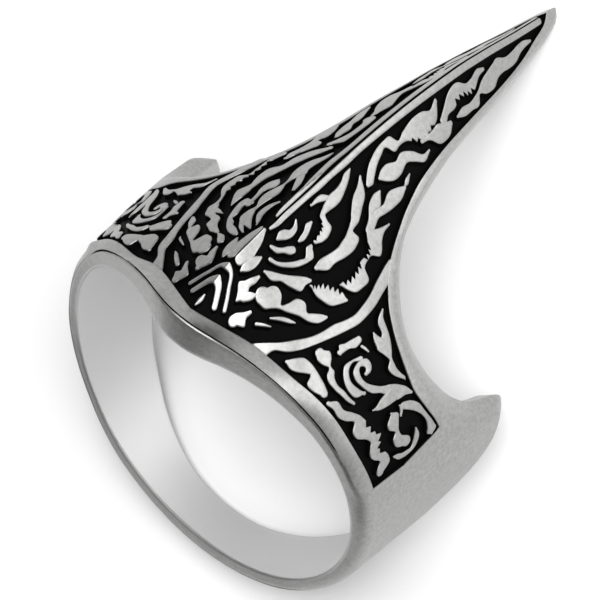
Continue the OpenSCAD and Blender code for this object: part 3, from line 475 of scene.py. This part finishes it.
def leaf(ladder, combs=(), lift=0.0):
    """Closed loops of points over one leaf, as g, y, height over the leaf tops and black: a flat
    top with rounded edges, steep walls down into the ground, and half-round ends. Each loop is the
    rung's middle plus the share across it times its half width, which falls with the cosine of
    the turn round an end. A comb cuts teeth into one edge: edge (0 left, 1 right), first rung,
    last rung, number and depth of the teeth."""
    ladder = np.array(ladder, float)
    middle = (ladder[:, :2] + ladder[:, 2:]) / 2
    gaps = np.maximum(np.linalg.norm(np.diff(middle, axis=0), axis=1), 0.02)
    knots = np.concatenate([[0], np.cumsum(gaps)])
    count = int(np.clip(knots[-1] / STEP, FEWEST, MOST))
    t = np.linspace(0, knots[-1], count)
    rungs = through(knots, ladder, t)
    place = np.interp(t, knots, np.arange(len(knots)))
    for edge, first, last, teeth, deep in combs:
        bar = rungs[:, 2:] - rungs[:, :2]
        inward = bar / np.linalg.norm(bar, axis=1)[:, None] * (1 if edge == 0 else -1)
        cut = deep * toothed(place, first, last, teeth)
        rungs[:, 2 * edge:2 * edge + 2] += inward * cut[:, None]
    centre = (rungs[:, :2] + rungs[:, 2:]) / 2
    half = (rungs[:, 2:] - rungs[:, :2]) / 2
    wide = np.linalg.norm(half, axis=1)
    bar = half / wide[:, None]
    ahead = np.stack([-bar[:, 1], bar[:, 0]], axis=1)
    ahead *= np.sign(np.sum(ahead * np.gradient(centre, axis=0), axis=1))[:, None]
    # Stations along the leaf: turns round its first end, its rungs, turns round its last end
    cap = np.radians([15, 32, 50, 68, 80, 90])
    at = np.concatenate([np.zeros(len(cap), int), np.arange(count), np.full(len(cap), count - 1)])
    turn = np.concatenate([-cap[::-1], np.zeros(count), cap])
    out = ahead[at] * np.sin(turn)[:, None]
    mid = centre[at] + out * wide[at][:, None]
    bar, width = bar[at][:, None], wide[at] * np.cos(turn)
    end = wide[at] * (1 - np.abs(np.sin(turn)))
    soft = min(EDGE_R, wide.max() / 2)
    inner = np.minimum(width[:, None] * (1 - np.abs(ACROSS)), end[:, None])
    drop = soft * (1 - np.sqrt(1 - (1 - np.minimum(inner / soft, 1)) ** 2))
    top = mid[:, None] + ACROSS[:, None] * bar * width[:, None, None]
    flat = np.dstack([top, lift - drop, np.clip(drop / soft - 0.55, 0, 1)])
    side, run, deep = LEAF_WALL.T[..., None]
    level = np.sqrt(np.maximum(0, 1 - np.sum(out * out, axis=1)))[:, None, None]
    foot = mid[:, None] + side * bar * width[:, None, None] + (side * bar * level
                                                               + out[:, None]) * run
    sunk = np.broadcast_to(-soft - deep * (RELIEF + ROOT - soft), (*foot.shape[:2], 1))
    walls = np.concatenate([foot, sunk, np.ones_like(sunk)], axis=2)
    return np.concatenate([flat, walls], axis=1)


def relief(name, leaves, side, material):
    """One piece of many leaves, on the right (1) or the left (-1) of the ridge. The way round g
    gives the angle g / GIRTH_R, and a height is counted from the radius over the leaf tops.
    Neighbours differ by a few thousandths of a mm, so that no two tops coincide."""
    points, faces, black, total = [], [], [], 0
    for k, entry in enumerate(leaves):
        ladder, combs = entry if isinstance(entry, tuple) else (entry, ())
        loops = leaf(ladder, combs, 0.002 * (k % 5) - 0.006)
        g, y, height, dark = np.moveaxis(loops, 2, 0)
        if side < 0:
            # The strip lies between g 3.7 and 6.2, the shoulder's leaves beyond it
            g = g - LEFT_NEARER * between(3.7, 4.4, 5.9, 6.2, g) * between(-1.2, 0, 3, 4.2, y)
            y = y - LEFT_FORWARD * ease(5.6, 6.4, g)
        angle = side * np.degrees(g / GIRTH_R)
        points.append(laid(angle, y, outside(angle, y) + height).reshape(-1, 3))
        faces.append(total + wrapped_quads(*g.shape, False))
        black.append(dark.ravel())
        total += g.size
    black = np.concatenate(black)
    cast_piece(name, np.concatenate(points), np.concatenate(faces),
               {"depth": black, "bore": np.zeros(len(black))}, material, sharp=50)


# A leaf is a ladder: a row is one rung, with the g and y of its left end and of its right end in
# mm, where g is the way round from the ridge. These of the head and spike are on both sides
HEAD_BOTH = [
    # strip between the head and the shoulder panel
    [[3.1, -2.1, 4.2, -1.85], [3.7, -1.35, 4.25, -1.3], [4.1, -0.85, 4.7, -0.85],
     [4.5, -0.1, 5.05, -0.2], [4.8, 0.6, 5.28, 0.6], [4.96, 1.3, 5.45, 1.3], [5.02, 2, 5.6, 2],
     [5.2, 2.7, 5.72, 2.7], [5.27, 3.2, 5.78, 3.2], [5.15, 3.9, 5.7, 3.9], [4.95, 4.6, 5.55, 4.6],
     [4.65, 5.3, 5.3, 5.3], [4.5, 5.7, 5.15, 5.75], [4.33, 6.15, 5, 6.2], [4.2, 6.6, 4.8, 6.7]],
    # bud, main lobe and side lobe
    [[0.02, 1.55, 0.16, 1.55], [0.02, 1.1, 0.34, 1.15], [0.02, 0.6, 0.47, 0.62],
     [0.02, 0.2, 0.55, 0.25], [0.02, -0.28, 0.42, -0.3]],
    [[0.66, 0.68, 0.78, 0.68], [0.5, 0.42, 0.85, 0.38], [0.44, 0, 0.84, -0.02],
     [0.44, -0.35, 0.72, -0.35], [0.5, -0.5, 0.6, -0.5]],
    # chevrons
    [[0.02, -1.02, 0.02, -0.68], [0.2, -0.98, 0.26, -0.76], [0.62, -1.45, 0.74, -1.3],
     [1.08, -2.08, 1.26, -1.98]],
    [[0.02, -1.74, 0.02, -1.3], [0.16, -1.78, 0.28, -1.45], [0.42, -2.08, 0.6, -1.85],
     [0.62, -2.38, 0.83, -2.2]],
    # leaves at the tip of the spike
    ([[0.4, 17.45, 0.5, 17.45], [0.35, 17, 0.56, 17], [0.5, 16.3, 0.85, 16.3],
      [0.52, 15.85, 0.92, 15.9], [0.36, 15.4, 0.84, 15.5], [0.36, 14.95, 0.86, 15],
      [0.5, 14.4, 0.98, 14.5], [0.75, 13.9, 1.02, 14], [1, 13.35, 1.2, 13.7]],
     ((1, 2, 5.5, 5, 0.18),)),
    [[0.42, 21.5, 0.5, 21.5], [0.34, 21, 0.54, 21], [0.36, 20.5, 0.62, 20.5],
     [0.44, 19.9, 0.8, 19.9], [0.48, 19.2, 0.86, 19.2], [0.38, 18.6, 0.86, 18.7],
     [0.46, 18.2, 0.92, 18.25], [0.58, 17.6, 1.14, 17.7], [0.72, 17, 1.16, 17],
     [0.92, 16.5, 1.06, 16.5], [1, 16.2, 1.32, 16.25], [1.1, 15.6, 1.36, 15.6],
     [1.08, 15, 1.38, 15], [1.2, 14.5, 1.28, 14.48]]
]
# Leaves of the shoulder panel, for both sides
SHOULDER = [
    # leaf along the notch, with its lower lobe
    [[5.88, 4.82, 5.95, 4.9], [6.05, 4.5, 6.25, 4.68], [6.35, 4.22, 6.7, 4.6],
     [6.9, 4.15, 7.1, 4.55], [7.1, 3.9, 7.5, 4.44], [7.4, 3.5, 7.9, 4.28], [7.85, 3.72, 8.25, 4.1],
     [8.3, 3.88, 8.6, 4.08], [8.6, 3.62, 8.9, 4.1], [9, 3.7, 9.3, 4.25], [9.5, 4.1, 9.6, 4.38],
     [9.68, 4.28, 9.72, 4.34]],
    [[6.58, 3.78, 6.6, 3.68], [6.85, 3.9, 6.9, 3.56], [7.1, 4.1, 7.45, 3.52]],
    # short leaves beside the strip
    [[6.2, 2.75, 6.6, 2.82], [6.15, 2.4, 6.66, 2.5], [6.1, 2, 6.5, 2.1], [6.02, 1.7, 6.48, 1.7],
     [6.2, 1.6, 6.5, 1.5]],
    [[6.75, 2.88, 6.82, 2.72], [7, 3, 7.08, 2.86], [7.18, 3.04, 7.22, 2.94]],
    [[5.75, 0.85, 5.78, 0.3], [5.95, 1.08, 6, 0.25], [6.3, 1, 6.35, 0.38], [6.6, 0.74, 6.64, 0.58],
     [6.95, 0.76, 6.85, 0.3], [7.15, 0.62, 7.1, 0.17], [7.6, 0.54, 7.65, 0.22],
     [8.1, 0.72, 8.2, 0.42], [8.6, 0.85, 8.7, 0.62], [8.95, 1, 9.02, 0.84]],
    [[5.02, -1.02, 5.15, -1.18], [5.18, -0.68, 5.5, -1.18], [5.45, -0.3, 5.85, -0.98],
     [5.9, -0.12, 6.1, -0.72], [6.4, -0.08, 6.38, -0.52], [6.7, -0.08, 6.6, -0.88],
     [7.2, -0.1, 7.15, -0.84], [7.56, -0.15, 7.5, -0.62]],
    # volute: inner strand running out into a leaf, outer strand, tail of the leaf
    [[8.2, 2.3, 7.98, 2.32], [8.14, 2.62, 7.9, 2.4], [7.85, 2.82, 7.72, 2.38],
     [7.45, 2.75, 7.62, 2.26], [7.3, 2.3, 7.62, 2.12], [7.38, 1.98, 7.75, 2.02],
     [7.6, 1.68, 7.95, 1.98], [8, 1.58, 8.15, 1.98], [8.45, 1.72, 8.4, 2.06],
     [8.95, 1.98, 8.72, 2.3], [9.2, 2.2, 9.1, 2.75], [9.5, 2.68, 9.38, 3.35],
     [10.38, 3.4, 9.7, 3.85], [10.45, 4, 10.1, 4.25], [10.6, 4.34, 10.45, 4.42]],
    [[7.12, 2.45, 7.4, 2.4], [7.02, 1.9, 7.18, 1.95], [7.02, 1.45, 7.3, 1.6],
     [7.35, 1.12, 7.6, 1.38], [7.9, 0.92, 8, 1.33], [8.4, 0.95, 8.35, 1.46],
     [8.82, 1.2, 8.72, 1.68], [8.9, 1.6, 8.84, 1.84]],
    [[9.6, 3.2, 10.36, 3.3], [9.75, 2.5, 10.32, 2.6], [9.92, 2.1, 10.22, 2.15],
     [9.95, 1.8, 10.05, 1.85]],
    # ring of leaves at the outer end
    [[10.7, 3.75, 11.08, 3.57], [10.88, 4.15, 11.33, 3.9], [11.28, 4.55, 11.63, 4.23],
     [11.88, 4.77, 12.08, 4.55], [12.48, 5, 12.58, 4.7], [12.98, 5.17, 13.03, 4.67],
     [13.36, 5.19, 13.38, 4.61], [13.5, 4.95, 13.5, 4.8]],
    [[10.73, 3.5, 10.78, 3.37], [11.03, 3.53, 11.08, 3.3], [11.28, 3.35, 11.26, 3.2]],
    [[10.8, 2.85, 10.88, 2.7], [10.98, 3.15, 11.18, 2.37], [11.43, 3.05, 11.58, 2.3],
     [11.88, 2.89, 11.9, 2.61], [12.28, 2.97, 12.28, 2.35], [12.5, 3.25, 12.78, 2.47],
     [12.63, 3.4, 12.96, 2.85]],
    [[12.53, 4.01, 12.53, 3.89], [12.93, 4.07, 12.88, 3.73], [13.28, 3.9, 13.18, 3.55],
     [13.54, 3.6, 13.38, 3.37], [13.66, 3.15, 13.38, 3.1], [13.64, 2.7, 13.34, 2.75],
     [13.52, 2.35, 13.18, 2.4], [13.28, 2.15, 13.14, 2.2]],
    # scalloped leaf along the front
    ([[8.08, -0.3, 8.15, -0.56], [8.3, 0.08, 8.5, -0.36], [8.9, 0.22, 9.05, -0.28],
      [9.35, 0.65, 9.5, 0.05], [9.8, 1.02, 9.9, 0.5], [10.2, 1.2, 10.3, 0.22],
      [10.65, 1.35, 10.75, 0.28], [11.05, 1.5, 11.15, 0.8], [11.35, 1.8, 11.45, 0.98],
      [11.8, 1.62, 11.8, 0.82], [12.1, 1.45, 12.15, 0.7], [12.5, 1.7, 12.5, 0.85],
      [12.9, 1.85, 12.85, 1.2], [13.25, 1.8, 13.2, 0.95], [13.55, 1.3, 13.38, 0.85]],
     ((0, 5, 11, 6, 0.25),))
]
# Leaves of the head and spike on the right alone
HEAD_RIGHT = [
    # strip along the ridge
    [[0.14, 1.8, 0.24, 1.8], [0.16, 2.2, 0.33, 2.2], [0.15, 2.7, 0.34, 2.7], [0.17, 3.5, 0.36, 3.5],
     [0.16, 4.5, 0.36, 4.5], [0.13, 5.3, 0.35, 5.3], [0.11, 6, 0.31, 6], [0.07, 7, 0.29, 7],
     [0.03, 8, 0.24, 8], [0.02, 10, 0.23, 10], [0.02, 14, 0.24, 14], [0.02, 18, 0.22, 18],
     [0.02, 22.7, 0.2, 22.7]],
    # small forked leaves beside the bud
    [[1.15, 0.05, 1.3, 0.05], [1.04, -0.25, 1.34, -0.25], [0.95, -0.55, 1.3, -0.62],
     [0.8, -0.88, 1.55, -0.95], [1, -1.1, 1.45, -1.2], [1.2, -1.36, 1.34, -1.36]],
    [[1.62, -0.52, 1.76, -0.6], [1.4, -0.7, 1.74, -0.85], [1.2, -0.95, 1.6, -1.1]],
    [[1.98, -1.2, 2.18, -1.2], [1.85, -1.42, 2.18, -1.5], [1.65, -1.68, 2.4, -1.75],
     [1.55, -1.95, 2.1, -1.98]],
    # lobed leaf from the bud to the strip, and small leaves round it
    [[1.8, 0.1, 2.15, -0.65], [1.88, 0.38, 2.42, -0.58], [2.15, 0.58, 2.6, -0.32],
     [2.48, 0.5, 2.75, -0.1], [2.74, 0.22, 2.9, 0.05], [2.9, 0.55, 3.15, 0.22],
     [3, 1.08, 3.45, 0.48], [3.4, 1.34, 3.75, 0.72], [3.78, 1.14, 4.15, 0.92], [4, 1.4, 4.42, 1.18],
     [4.3, 1.78, 4.58, 1.5], [4.45, 1.9, 4.62, 1.85]],
    [[1.18, 0.5, 1.3, 0.4], [1.38, 0.72, 1.62, 0.45], [1.85, 1.2, 2, 0.88],
     [2.15, 1.58, 2.45, 1.12], [2.38, 1.9, 2.88, 1.5], [2.55, 2.1, 2.8, 1.85],
     [2.68, 2.2, 2.84, 2.12]],
    [[2.88, -0.56, 2.98, -0.62], [3.15, -0.15, 3.3, -0.3], [3.5, 0.18, 3.68, 0.05],
     [3.78, 0.34, 3.86, 0.28]],
    [[2.62, -1.2, 2.75, -1.32], [2.9, -0.96, 3, -1.08], [3.2, -0.78, 3.26, -0.84]],
    # curl and the small leaves inside it
    [[0.95, 1.08, 1.12, 0.95], [1.2, 1.2, 1.42, 1.15], [1.45, 1.5, 1.7, 1.48],
     [1.65, 1.85, 1.9, 1.8], [1.8, 2.25, 2.05, 2.2], [1.88, 2.58, 2.13, 2.65],
     [1.62, 2.86, 2.1, 2.95], [1.62, 3.08, 1.8, 3.12]],
    [[0.64, 1.45, 0.76, 1.32], [0.85, 1.62, 1, 1.42], [1, 1.85, 1.18, 1.72], [1.1, 2.1, 1.42, 1.98],
     [1.2, 2.28, 1.48, 2.18]],
    [[0.58, 3.1, 0.64, 3.16], [0.7, 2.85, 0.88, 2.95], [0.7, 2.6, 0.96, 2.65],
     [0.54, 2.35, 0.92, 2.3], [0.5, 2.05, 0.8, 2.02], [0.6, 1.82, 0.68, 1.8]],
    [[0.98, 3.75, 1.1, 3.75], [0.94, 3.5, 1.22, 3.5], [1.1, 3.15, 1.34, 3.15],
     [1.16, 2.85, 1.36, 2.88], [1.2, 2.7, 1.3, 2.7]],
    # hooked leaf under the ridge, with its prong
    ([[0.4, 7.15, 0.46, 7.2], [0.42, 6.8, 0.68, 6.85], [0.58, 6.35, 0.92, 6.3],
      [0.66, 5.9, 1.08, 5.85], [0.68, 5.4, 1.14, 5.4], [0.78, 5, 1.13, 4.95],
      [0.88, 4.72, 1.16, 4.62], [1.08, 4.3, 1.4, 4.56], [1.35, 4.15, 1.66, 4.58],
      [1.46, 4, 1.86, 4.15], [1.52, 3.75, 1.88, 3.75], [1.6, 3.4, 1.78, 3.4]],
     ((0, 7, 11, 5, 0.1),)),
    [[0.68, 5.35, 0.82, 5.25], [0.52, 5.05, 0.76, 5], [0.48, 4.65, 0.66, 4.6],
     [0.55, 4.25, 0.62, 4.15]],
    # great leaf of the roof
    [[0.78, 7.5, 0.9, 7.52], [1, 7.15, 1.4, 7.28], [1.25, 6.55, 1.78, 6.72],
     [1.62, 6.05, 2.12, 6.15], [1.98, 5.6, 2.35, 5.52], [2.2, 5.15, 2.62, 5.68],
     [2.32, 4.75, 2.9, 5.2], [2.42, 4.3, 2.96, 4.5], [2.4, 3.7, 2.88, 3.75], [2.34, 3.15, 2.9, 3.2],
     [2.42, 2.75, 2.62, 2.76]],
    # outer leaves along the strip
    ([[4.42, 3.3, 4.56, 3.22], [3.95, 3.28, 4.45, 2.85], [3.55, 3.02, 4.25, 2.4],
      [3.2, 2.66, 3.85, 2.15], [3, 2.3, 3.4, 2], [2.9, 2.05, 3, 2.02]],
     ((0, 0.8, 4.6, 7, 0.28),)),
    ([[2.9, 7.62, 3, 7.7], [2.84, 7.15, 3.1, 7.2], [2.75, 6.75, 3.35, 6.8], [2.6, 6.3, 3.7, 6.5],
      [3, 6, 3.82, 6.2], [3.3, 5.75, 3.6, 5.85], [3.42, 5.4, 3.64, 5.5], [3.45, 5.15, 3.85, 5.08],
      [3.55, 4.85, 4.38, 4.95], [3.7, 4.45, 4.5, 4.4], [3.78, 4, 4.46, 3.9], [3.7, 3.6, 4.1, 3.55],
      [3.72, 3.4, 3.8, 3.38]],
     ((0, 4, 6.2, 3, 0.25), (0, 7.5, 11, 5, 0.25))),
    [[2.08, 9.55, 2.22, 9.58], [1.96, 9.1, 2.44, 9.1], [1.9, 8.55, 2.52, 8.5],
     [2.15, 7.9, 2.52, 7.8], [2.12, 7.3, 2.5, 7.3], [2.3, 6.8, 2.7, 6.85]],
    [[1.62, 8.08, 1.75, 8.12], [1.62, 7.7, 2.15, 7.75], [1.85, 7.15, 2.3, 7.3],
     [2.25, 6.75, 2.6, 6.95], [2.5, 6.3, 2.9, 6.6]],
    # leaves from the head up the spike
    [[1.56, 11.9, 1.66, 11.9], [1.58, 11.45, 1.84, 11.4], [1.25, 10.9, 1.62, 10.8],
     [1.06, 10.3, 1.48, 10.35], [1.18, 9.75, 1.68, 9.7], [1.06, 9.2, 1.7, 9.2],
     [1.12, 8.7, 1.52, 8.7], [1.26, 8.42, 1.36, 8.44]],
    ([[0.36, 13.58, 0.5, 13.62], [0.55, 13, 0.92, 13.18], [0.44, 12.5, 1.12, 12.6],
      [0.42, 12, 1.3, 12.1], [0.46, 11.5, 1.12, 11.4], [0.56, 10.95, 0.9, 10.95],
      [0.68, 10.4, 0.86, 10.4], [0.42, 10.1, 0.92, 9.98], [0.4, 9.7, 0.62, 9.6],
      [0.44, 9.2, 0.72, 9.2], [0.56, 8.7, 0.9, 8.7], [0.72, 8.25, 1.15, 8.25], [1, 7.8, 1.34, 7.9],
      [1.15, 7.63, 1.32, 7.68]],
     ((1, 1.5, 4.5, 5, 0.15),)),
    [[1.2, 13.9, 1.38, 13.94], [1.15, 13.5, 1.6, 13.6], [1.05, 13, 1.7, 13],
     [1.12, 12.6, 1.66, 12.68], [1.14, 12.1, 1.34, 12.2], [1.14, 11.7, 1.28, 11.7]],
    [[1.82, 10.15, 1.9, 10.18], [1.92, 9.8, 2.14, 9.8], [2.05, 9.62, 2.14, 9.6]]
]
relief("head_leaves_right", HEAD_BOTH + HEAD_RIGHT, 1, silver)
relief("shoulder_leaves_right", SHOULDER, 1, silver)


# Leaves and strips of the left side.
# The same casting and finish. The wax was carved by hand, so the leaves of the head and spike
# differ from the right side's; the shoulder panel repeats them. All are drawn as if on the right.
HEAD_LEFT = [
    # strip along the ridge
    [[-0.08, 2.4, 0, 2.4], [-0.09, 2.7, 0.05, 2.7], [-0.11, 3.5, 0.05, 3.5], [-0.1, 4.3, 0.08, 4.3],
     [-0.07, 5, 0.19, 5], [-0.03, 5.5, 0.25, 5.5], [0.01, 6, 0.31, 6], [0.05, 6.5, 0.37, 6.5],
     [0.08, 8, 0.38, 8], [0.1, 10, 0.42, 10], [0.1, 12, 0.42, 12], [0.1, 14, 0.43, 14],
     [0.08, 18, 0.34, 18], [0.05, 22.7, 0.25, 22.7]],
    # small forked leaves beside the bud
    [[1.2, -0.08, 1.38, -0.12], [1.08, -0.35, 1.42, -0.4], [0.95, -0.6, 1.42, -0.68],
     [0.86, -0.85, 1.72, -0.7], [1, -1.08, 1.8, -1], [1.25, -1.32, 1.5, -1.28]],
    [[2.08, -1.2, 2.28, -1.25], [1.92, -1.42, 2.22, -1.48], [1.62, -1.7, 2.2, -1.66],
     [1.78, -1.95, 2.46, -1.8], [1.92, -2.1, 2.35, -2.02]],
    # blades under the lobed leaf
    [[2.6, -1.3, 2.72, -1.5], [2.88, -1.08, 3, -1.3], [3.15, -0.88, 3.28, -1.02],
     [3.32, -0.82, 3.38, -0.88]],
    [[3.2, -0.35, 3.24, -0.42], [3.6, -0.1, 3.66, -0.22], [3.95, 0.08, 4.05, 0]],
    # lobed leaf from the bud to the strip
    [[1.78, 0.05, 2.05, -0.6], [1.95, 0.35, 2.25, -0.68], [2.25, 0.52, 2.5, -0.55],
     [2.55, 0.5, 2.7, -0.4], [2.7, 0.2, 2.78, -0.32], [2.85, -0.02, 2.95, -0.18],
     [3, 0.3, 3.15, -0.05], [3.1, 0.65, 3.5, 0.2], [3.35, 0.98, 3.8, 0.4], [3.58, 1.06, 4, 0.52],
     [3.78, 0.8, 4.15, 0.62], [4.02, 0.95, 4.4, 0.82], [4.3, 1.32, 4.68, 1.12],
     [4.62, 1.54, 4.8, 1.42]],
    # comb leaf along the strip, with its prong
    ([[2, 0.92, 2.12, 0.76], [2.3, 1.15, 2.5, 0.8], [2.53, 1.42, 2.85, 1.02],
      [2.62, 1.68, 3.12, 1.2], [2.85, 1.86, 3.12, 1.52], [3.2, 1.98, 3.4, 1.7],
      [3.45, 2.45, 3.8, 1.8], [3.55, 2.62, 4.25, 2.05], [3.68, 2.78, 4.42, 2.4],
      [3.72, 2.95, 4.1, 2.75], [3.78, 3.15, 4.15, 3.05], [3.9, 3.4, 4.42, 3.4],
      [3.85, 3.8, 4.55, 3.75], [3.9, 4.2, 4.56, 4.15], [3.8, 4.6, 4.54, 4.6], [3.72, 5, 4.42, 5.05],
      [3.62, 5.3, 3.98, 5.2], [3.62, 5.8, 3.96, 5.8], [3.65, 6.3, 3.98, 6.3], [3.7, 6.7, 4.02, 6.7],
      [3.6, 7.1, 3.95, 7.1], [3.4, 7.45, 3.7, 7.5]],
     ((0, 11, 19, 8, 0.25),)),
    [[2.8, 2.04, 2.84, 2.1], [3, 2.05, 3.05, 2.24], [3.35, 2.05, 3.45, 2.42]],
    [[1.3, 0.5, 1.5, 0.2], [1.48, 0.7, 1.68, 0.4], [1.75, 0.78, 1.88, 0.66],
     [1.95, 0.8, 2.02, 0.76]],
    # hooked strand and the strand above it
    [[0.98, 1.05, 1.05, 0.82], [1.3, 1.3, 1.45, 0.95], [1.6, 1.46, 1.85, 1.25],
     [1.72, 1.66, 2.1, 1.58], [1.98, 1.86, 2.25, 1.85], [1.94, 2.2, 2.36, 2.2],
     [2.02, 2.6, 2.44, 2.6], [2.02, 2.88, 2.44, 2.95], [1.85, 3.02, 2.25, 3.25],
     [1.74, 2.88, 1.8, 3.1]],
    [[1.72, 2.85, 2, 2.88], [1.75, 3.2, 1.98, 3.3], [1.75, 3.6, 2, 3.6], [1.72, 3.95, 2.1, 3.95],
     [1.55, 4.1, 2.12, 4.2], [1.38, 4.3, 2.08, 4.5], [1.48, 4.7, 1.95, 4.75],
     [1.65, 4.88, 1.8, 4.88]],
    # double strand beside the ridge, with its tail and prong
    [[0.53, 1.42, 0.6, 1.36], [0.75, 1.72, 0.95, 1.5], [0.98, 2.08, 1.3, 1.62],
     [1.1, 2.38, 1.62, 2], [1.18, 2.55, 1.55, 2.45], [1.18, 2.75, 1.36, 2.75],
     [1.08, 3.15, 1.5, 3.15], [0.92, 3.5, 1.56, 3.5], [0.84, 3.8, 1.5, 3.8],
     [0.92, 4.15, 1.35, 4.15], [1.04, 4.5, 1.2, 4.5], [1.04, 4.8, 1.2, 4.8], [0.98, 5.1, 1.3, 5.15],
     [0.7, 5.5, 1.42, 5.5], [0.82, 5.9, 1.48, 5.9], [0.82, 6.25, 1.45, 6.3], [0.72, 6.7, 1.3, 6.75],
     [0.64, 7.1, 0.98, 7.1], [0.66, 7.5, 0.74, 7.52]],
    [[0.7, 1.12, 0.76, 1.06], [0.95, 1.42, 1.15, 1.32], [1.2, 1.72, 1.45, 1.72]],
    [[0.3, 4.2, 0.45, 4.12], [0.34, 4.55, 0.62, 4.5], [0.48, 5, 0.85, 5], [0.65, 5.38, 1, 5.3]],
    [[0.38, 3.18, 0.5, 3.24], [0.52, 2.95, 0.72, 3.05], [0.58, 2.65, 0.9, 2.7],
     [0.56, 2.3, 0.92, 2.35], [0.46, 1.95, 0.72, 1.98], [0.4, 1.65, 0.48, 1.7]],
    # great leaf of the roof
    [[2.76, 2.7, 2.84, 2.7], [2.7, 3.05, 3.05, 3.05], [2.6, 3.45, 3.26, 3.45],
     [2.56, 3.75, 3.32, 3.75], [2.6, 4.02, 3.12, 4.05], [2.6, 4.3, 2.98, 4.3],
     [2.56, 4.65, 3.06, 4.65], [2.5, 5, 3.17, 5.05], [2.35, 5.4, 3.2, 5.45], [2.18, 5.85, 3.1, 5.9],
     [2, 6.3, 2.62, 6.2], [1.88, 6.6, 2.54, 6.6], [1.68, 7, 2.48, 7], [1.45, 7.35, 2.25, 7.4],
     [1.2, 7.7, 1.9, 7.78], [1.05, 7.95, 1.35, 8.04]],
    # outer leaf where the head narrows
    [[2.3, 10.1, 2.75, 10.1], [2.16, 9.6, 2.84, 9.6], [2.2, 9.1, 2.88, 9.2],
     [2.48, 8.82, 2.84, 8.85], [2.05, 8.55, 2.82, 8.6], [2.02, 8.3, 2.88, 8.3],
     [2.25, 7.95, 2.98, 7.95], [2.55, 7.62, 3.12, 7.65], [2.75, 7.25, 3.2, 7.4],
     [2.9, 6.92, 3.1, 7.1]],
    # leaves from the head up the spike
    [[0.68, 10.65, 1.25, 10.58], [0.66, 10.3, 1.08, 10.3], [0.68, 9.8, 1.06, 9.8],
     [0.72, 9.3, 1.12, 9.3], [0.78, 8.9, 1.3, 8.9], [0.88, 8.55, 1.5, 8.6],
     [1.3, 8.35, 1.62, 8.45]],
    [[1.82, 11.98, 1.98, 12], [1.68, 11.5, 2.08, 11.5], [1.52, 11, 2.04, 11],
     [1.5, 10.6, 1.98, 10.6], [1.55, 10.28, 2, 10.25], [1.36, 9.78, 1.98, 9.9],
     [1.44, 9.4, 1.9, 9.4], [1.55, 9.08, 1.72, 9.08]],
    [[1, 10.98, 1.15, 10.98], [0.86, 11.4, 1.24, 11.4], [0.7, 11.85, 1.45, 11.8],
     [0.78, 12.3, 1.62, 12.3], [0.92, 12.8, 1.68, 12.8], [1, 13.2, 1.6, 13.2],
     [0.98, 13.6, 1.34, 13.55], [0.92, 13.95, 1.2, 14]]
]
relief("head_leaves_left", HEAD_BOTH + HEAD_LEFT, -1, silver)
relief("shoulder_leaves_left", SHOULDER, -1, silver)


# Seed leaf, the smallest of the casting.
# It stands on the centre line in front of the chevrons, cast and polished like the others.
SEED = [[-0.02, -2.3, 0.06, -2.3], [-0.09, -2.5, 0.12, -2.5], [-0.06, -2.74, 0.1, -2.74],
        [-0.02, -2.9, 0.06, -2.9]]
relief("seed_leaf", [SEED], 1, silver)


# Floor, light and camera.
# A plain pale paper sweep under soft boxes. The camera looks along the photograph's line of
# sight, through a long lens.
def paper():
    """Matt white paper, which scatters light almost evenly."""
    made = bpy.data.materials.new("white paper")
    made.use_nodes = True
    shader = made.node_tree.nodes["Principled BSDF"]
    shader.inputs["Base Color"].default_value = colour("#F4F4F4")
    shader.inputs["Roughness"].default_value = 0.9
    return made


# Half the side of the floor in metres
reach = 0.6
floor_mesh = bpy.data.meshes.new("floor")
floor_mesh.from_pydata([(-reach, -reach, 0), (reach, -reach, 0), (reach, reach, 0),
                        (-reach, reach, 0)], [], [(0, 1, 2, 3)])
floor_mesh.materials.append(paper())
floor = bpy.data.objects.new("floor", floor_mesh)
bpy.context.collection.objects.link(floor)

scene = bpy.context.scene
world = bpy.data.worlds.new("studio")
scene.world = world
world.use_nodes = True
background = world.node_tree.nodes["Background"]
background.inputs["Color"].default_value = colour("#FFFFFF")
background.inputs["Strength"].default_value = 0.13

# Where the softboxes aim
RING_MIDDLE = Vector((0, 0, 0.009))


def softbox(name, place, size, power):
    """A softbox aimed at the ring; place and size in metres, power in watts."""
    light = bpy.data.lights.new(name, "AREA")
    light.shape = "RECTANGLE"
    light.size, light.size_y = size
    light.energy = power
    made = bpy.data.objects.new(name, light)
    made.location = place
    made.rotation_mode = "QUATERNION"
    made.rotation_quaternion = (Vector(place) - RING_MIDDLE).to_track_quat("Z", "Y")
    bpy.context.collection.objects.link(made)


softbox("side box", (-0.21, -0.185, 0.062), (0.28, 0.11), 0.33)
softbox("top box", (0.0, -0.12, 0.3), (0.3, 0.3), 1.0)
softbox("fill box", (-0.14, -0.11, 0.26), (0.28, 0.28), 0.6)
softbox("left box", (0.27, -0.04, 0.07), (0.22, 0.14), 0.1)
softbox("edge box", (-0.28, 0.0, 0.06), (0.16, 0.1), 0.045)

# Where the camera stands, what it looks at and which way is up in the picture, in metres
EYE = Vector((-0.0524255, -0.0328524, 0.1391376))
AIM = Vector((-0.0000302, 0.0018132, 0.007199))
UPWARD = Vector((0.584102, -0.811463, 0.018754))
camera_data = bpy.data.cameras.new("camera")
camera_data.lens = 167.14
camera_data.sensor_width = 36
camera_data.clip_start, camera_data.clip_end = 0.01, 10
camera = bpy.data.objects.new("camera", camera_data)
bpy.context.collection.objects.link(camera)
away = (EYE - AIM).normalized()
across = UPWARD.cross(away).normalized()
up = away.cross(across)
camera.matrix_world = Matrix.Translation(EYE) @ Matrix((across, up, away)).transposed().to_4x4()
scene.camera = camera
scene.view_settings.view_transform = "Standard"
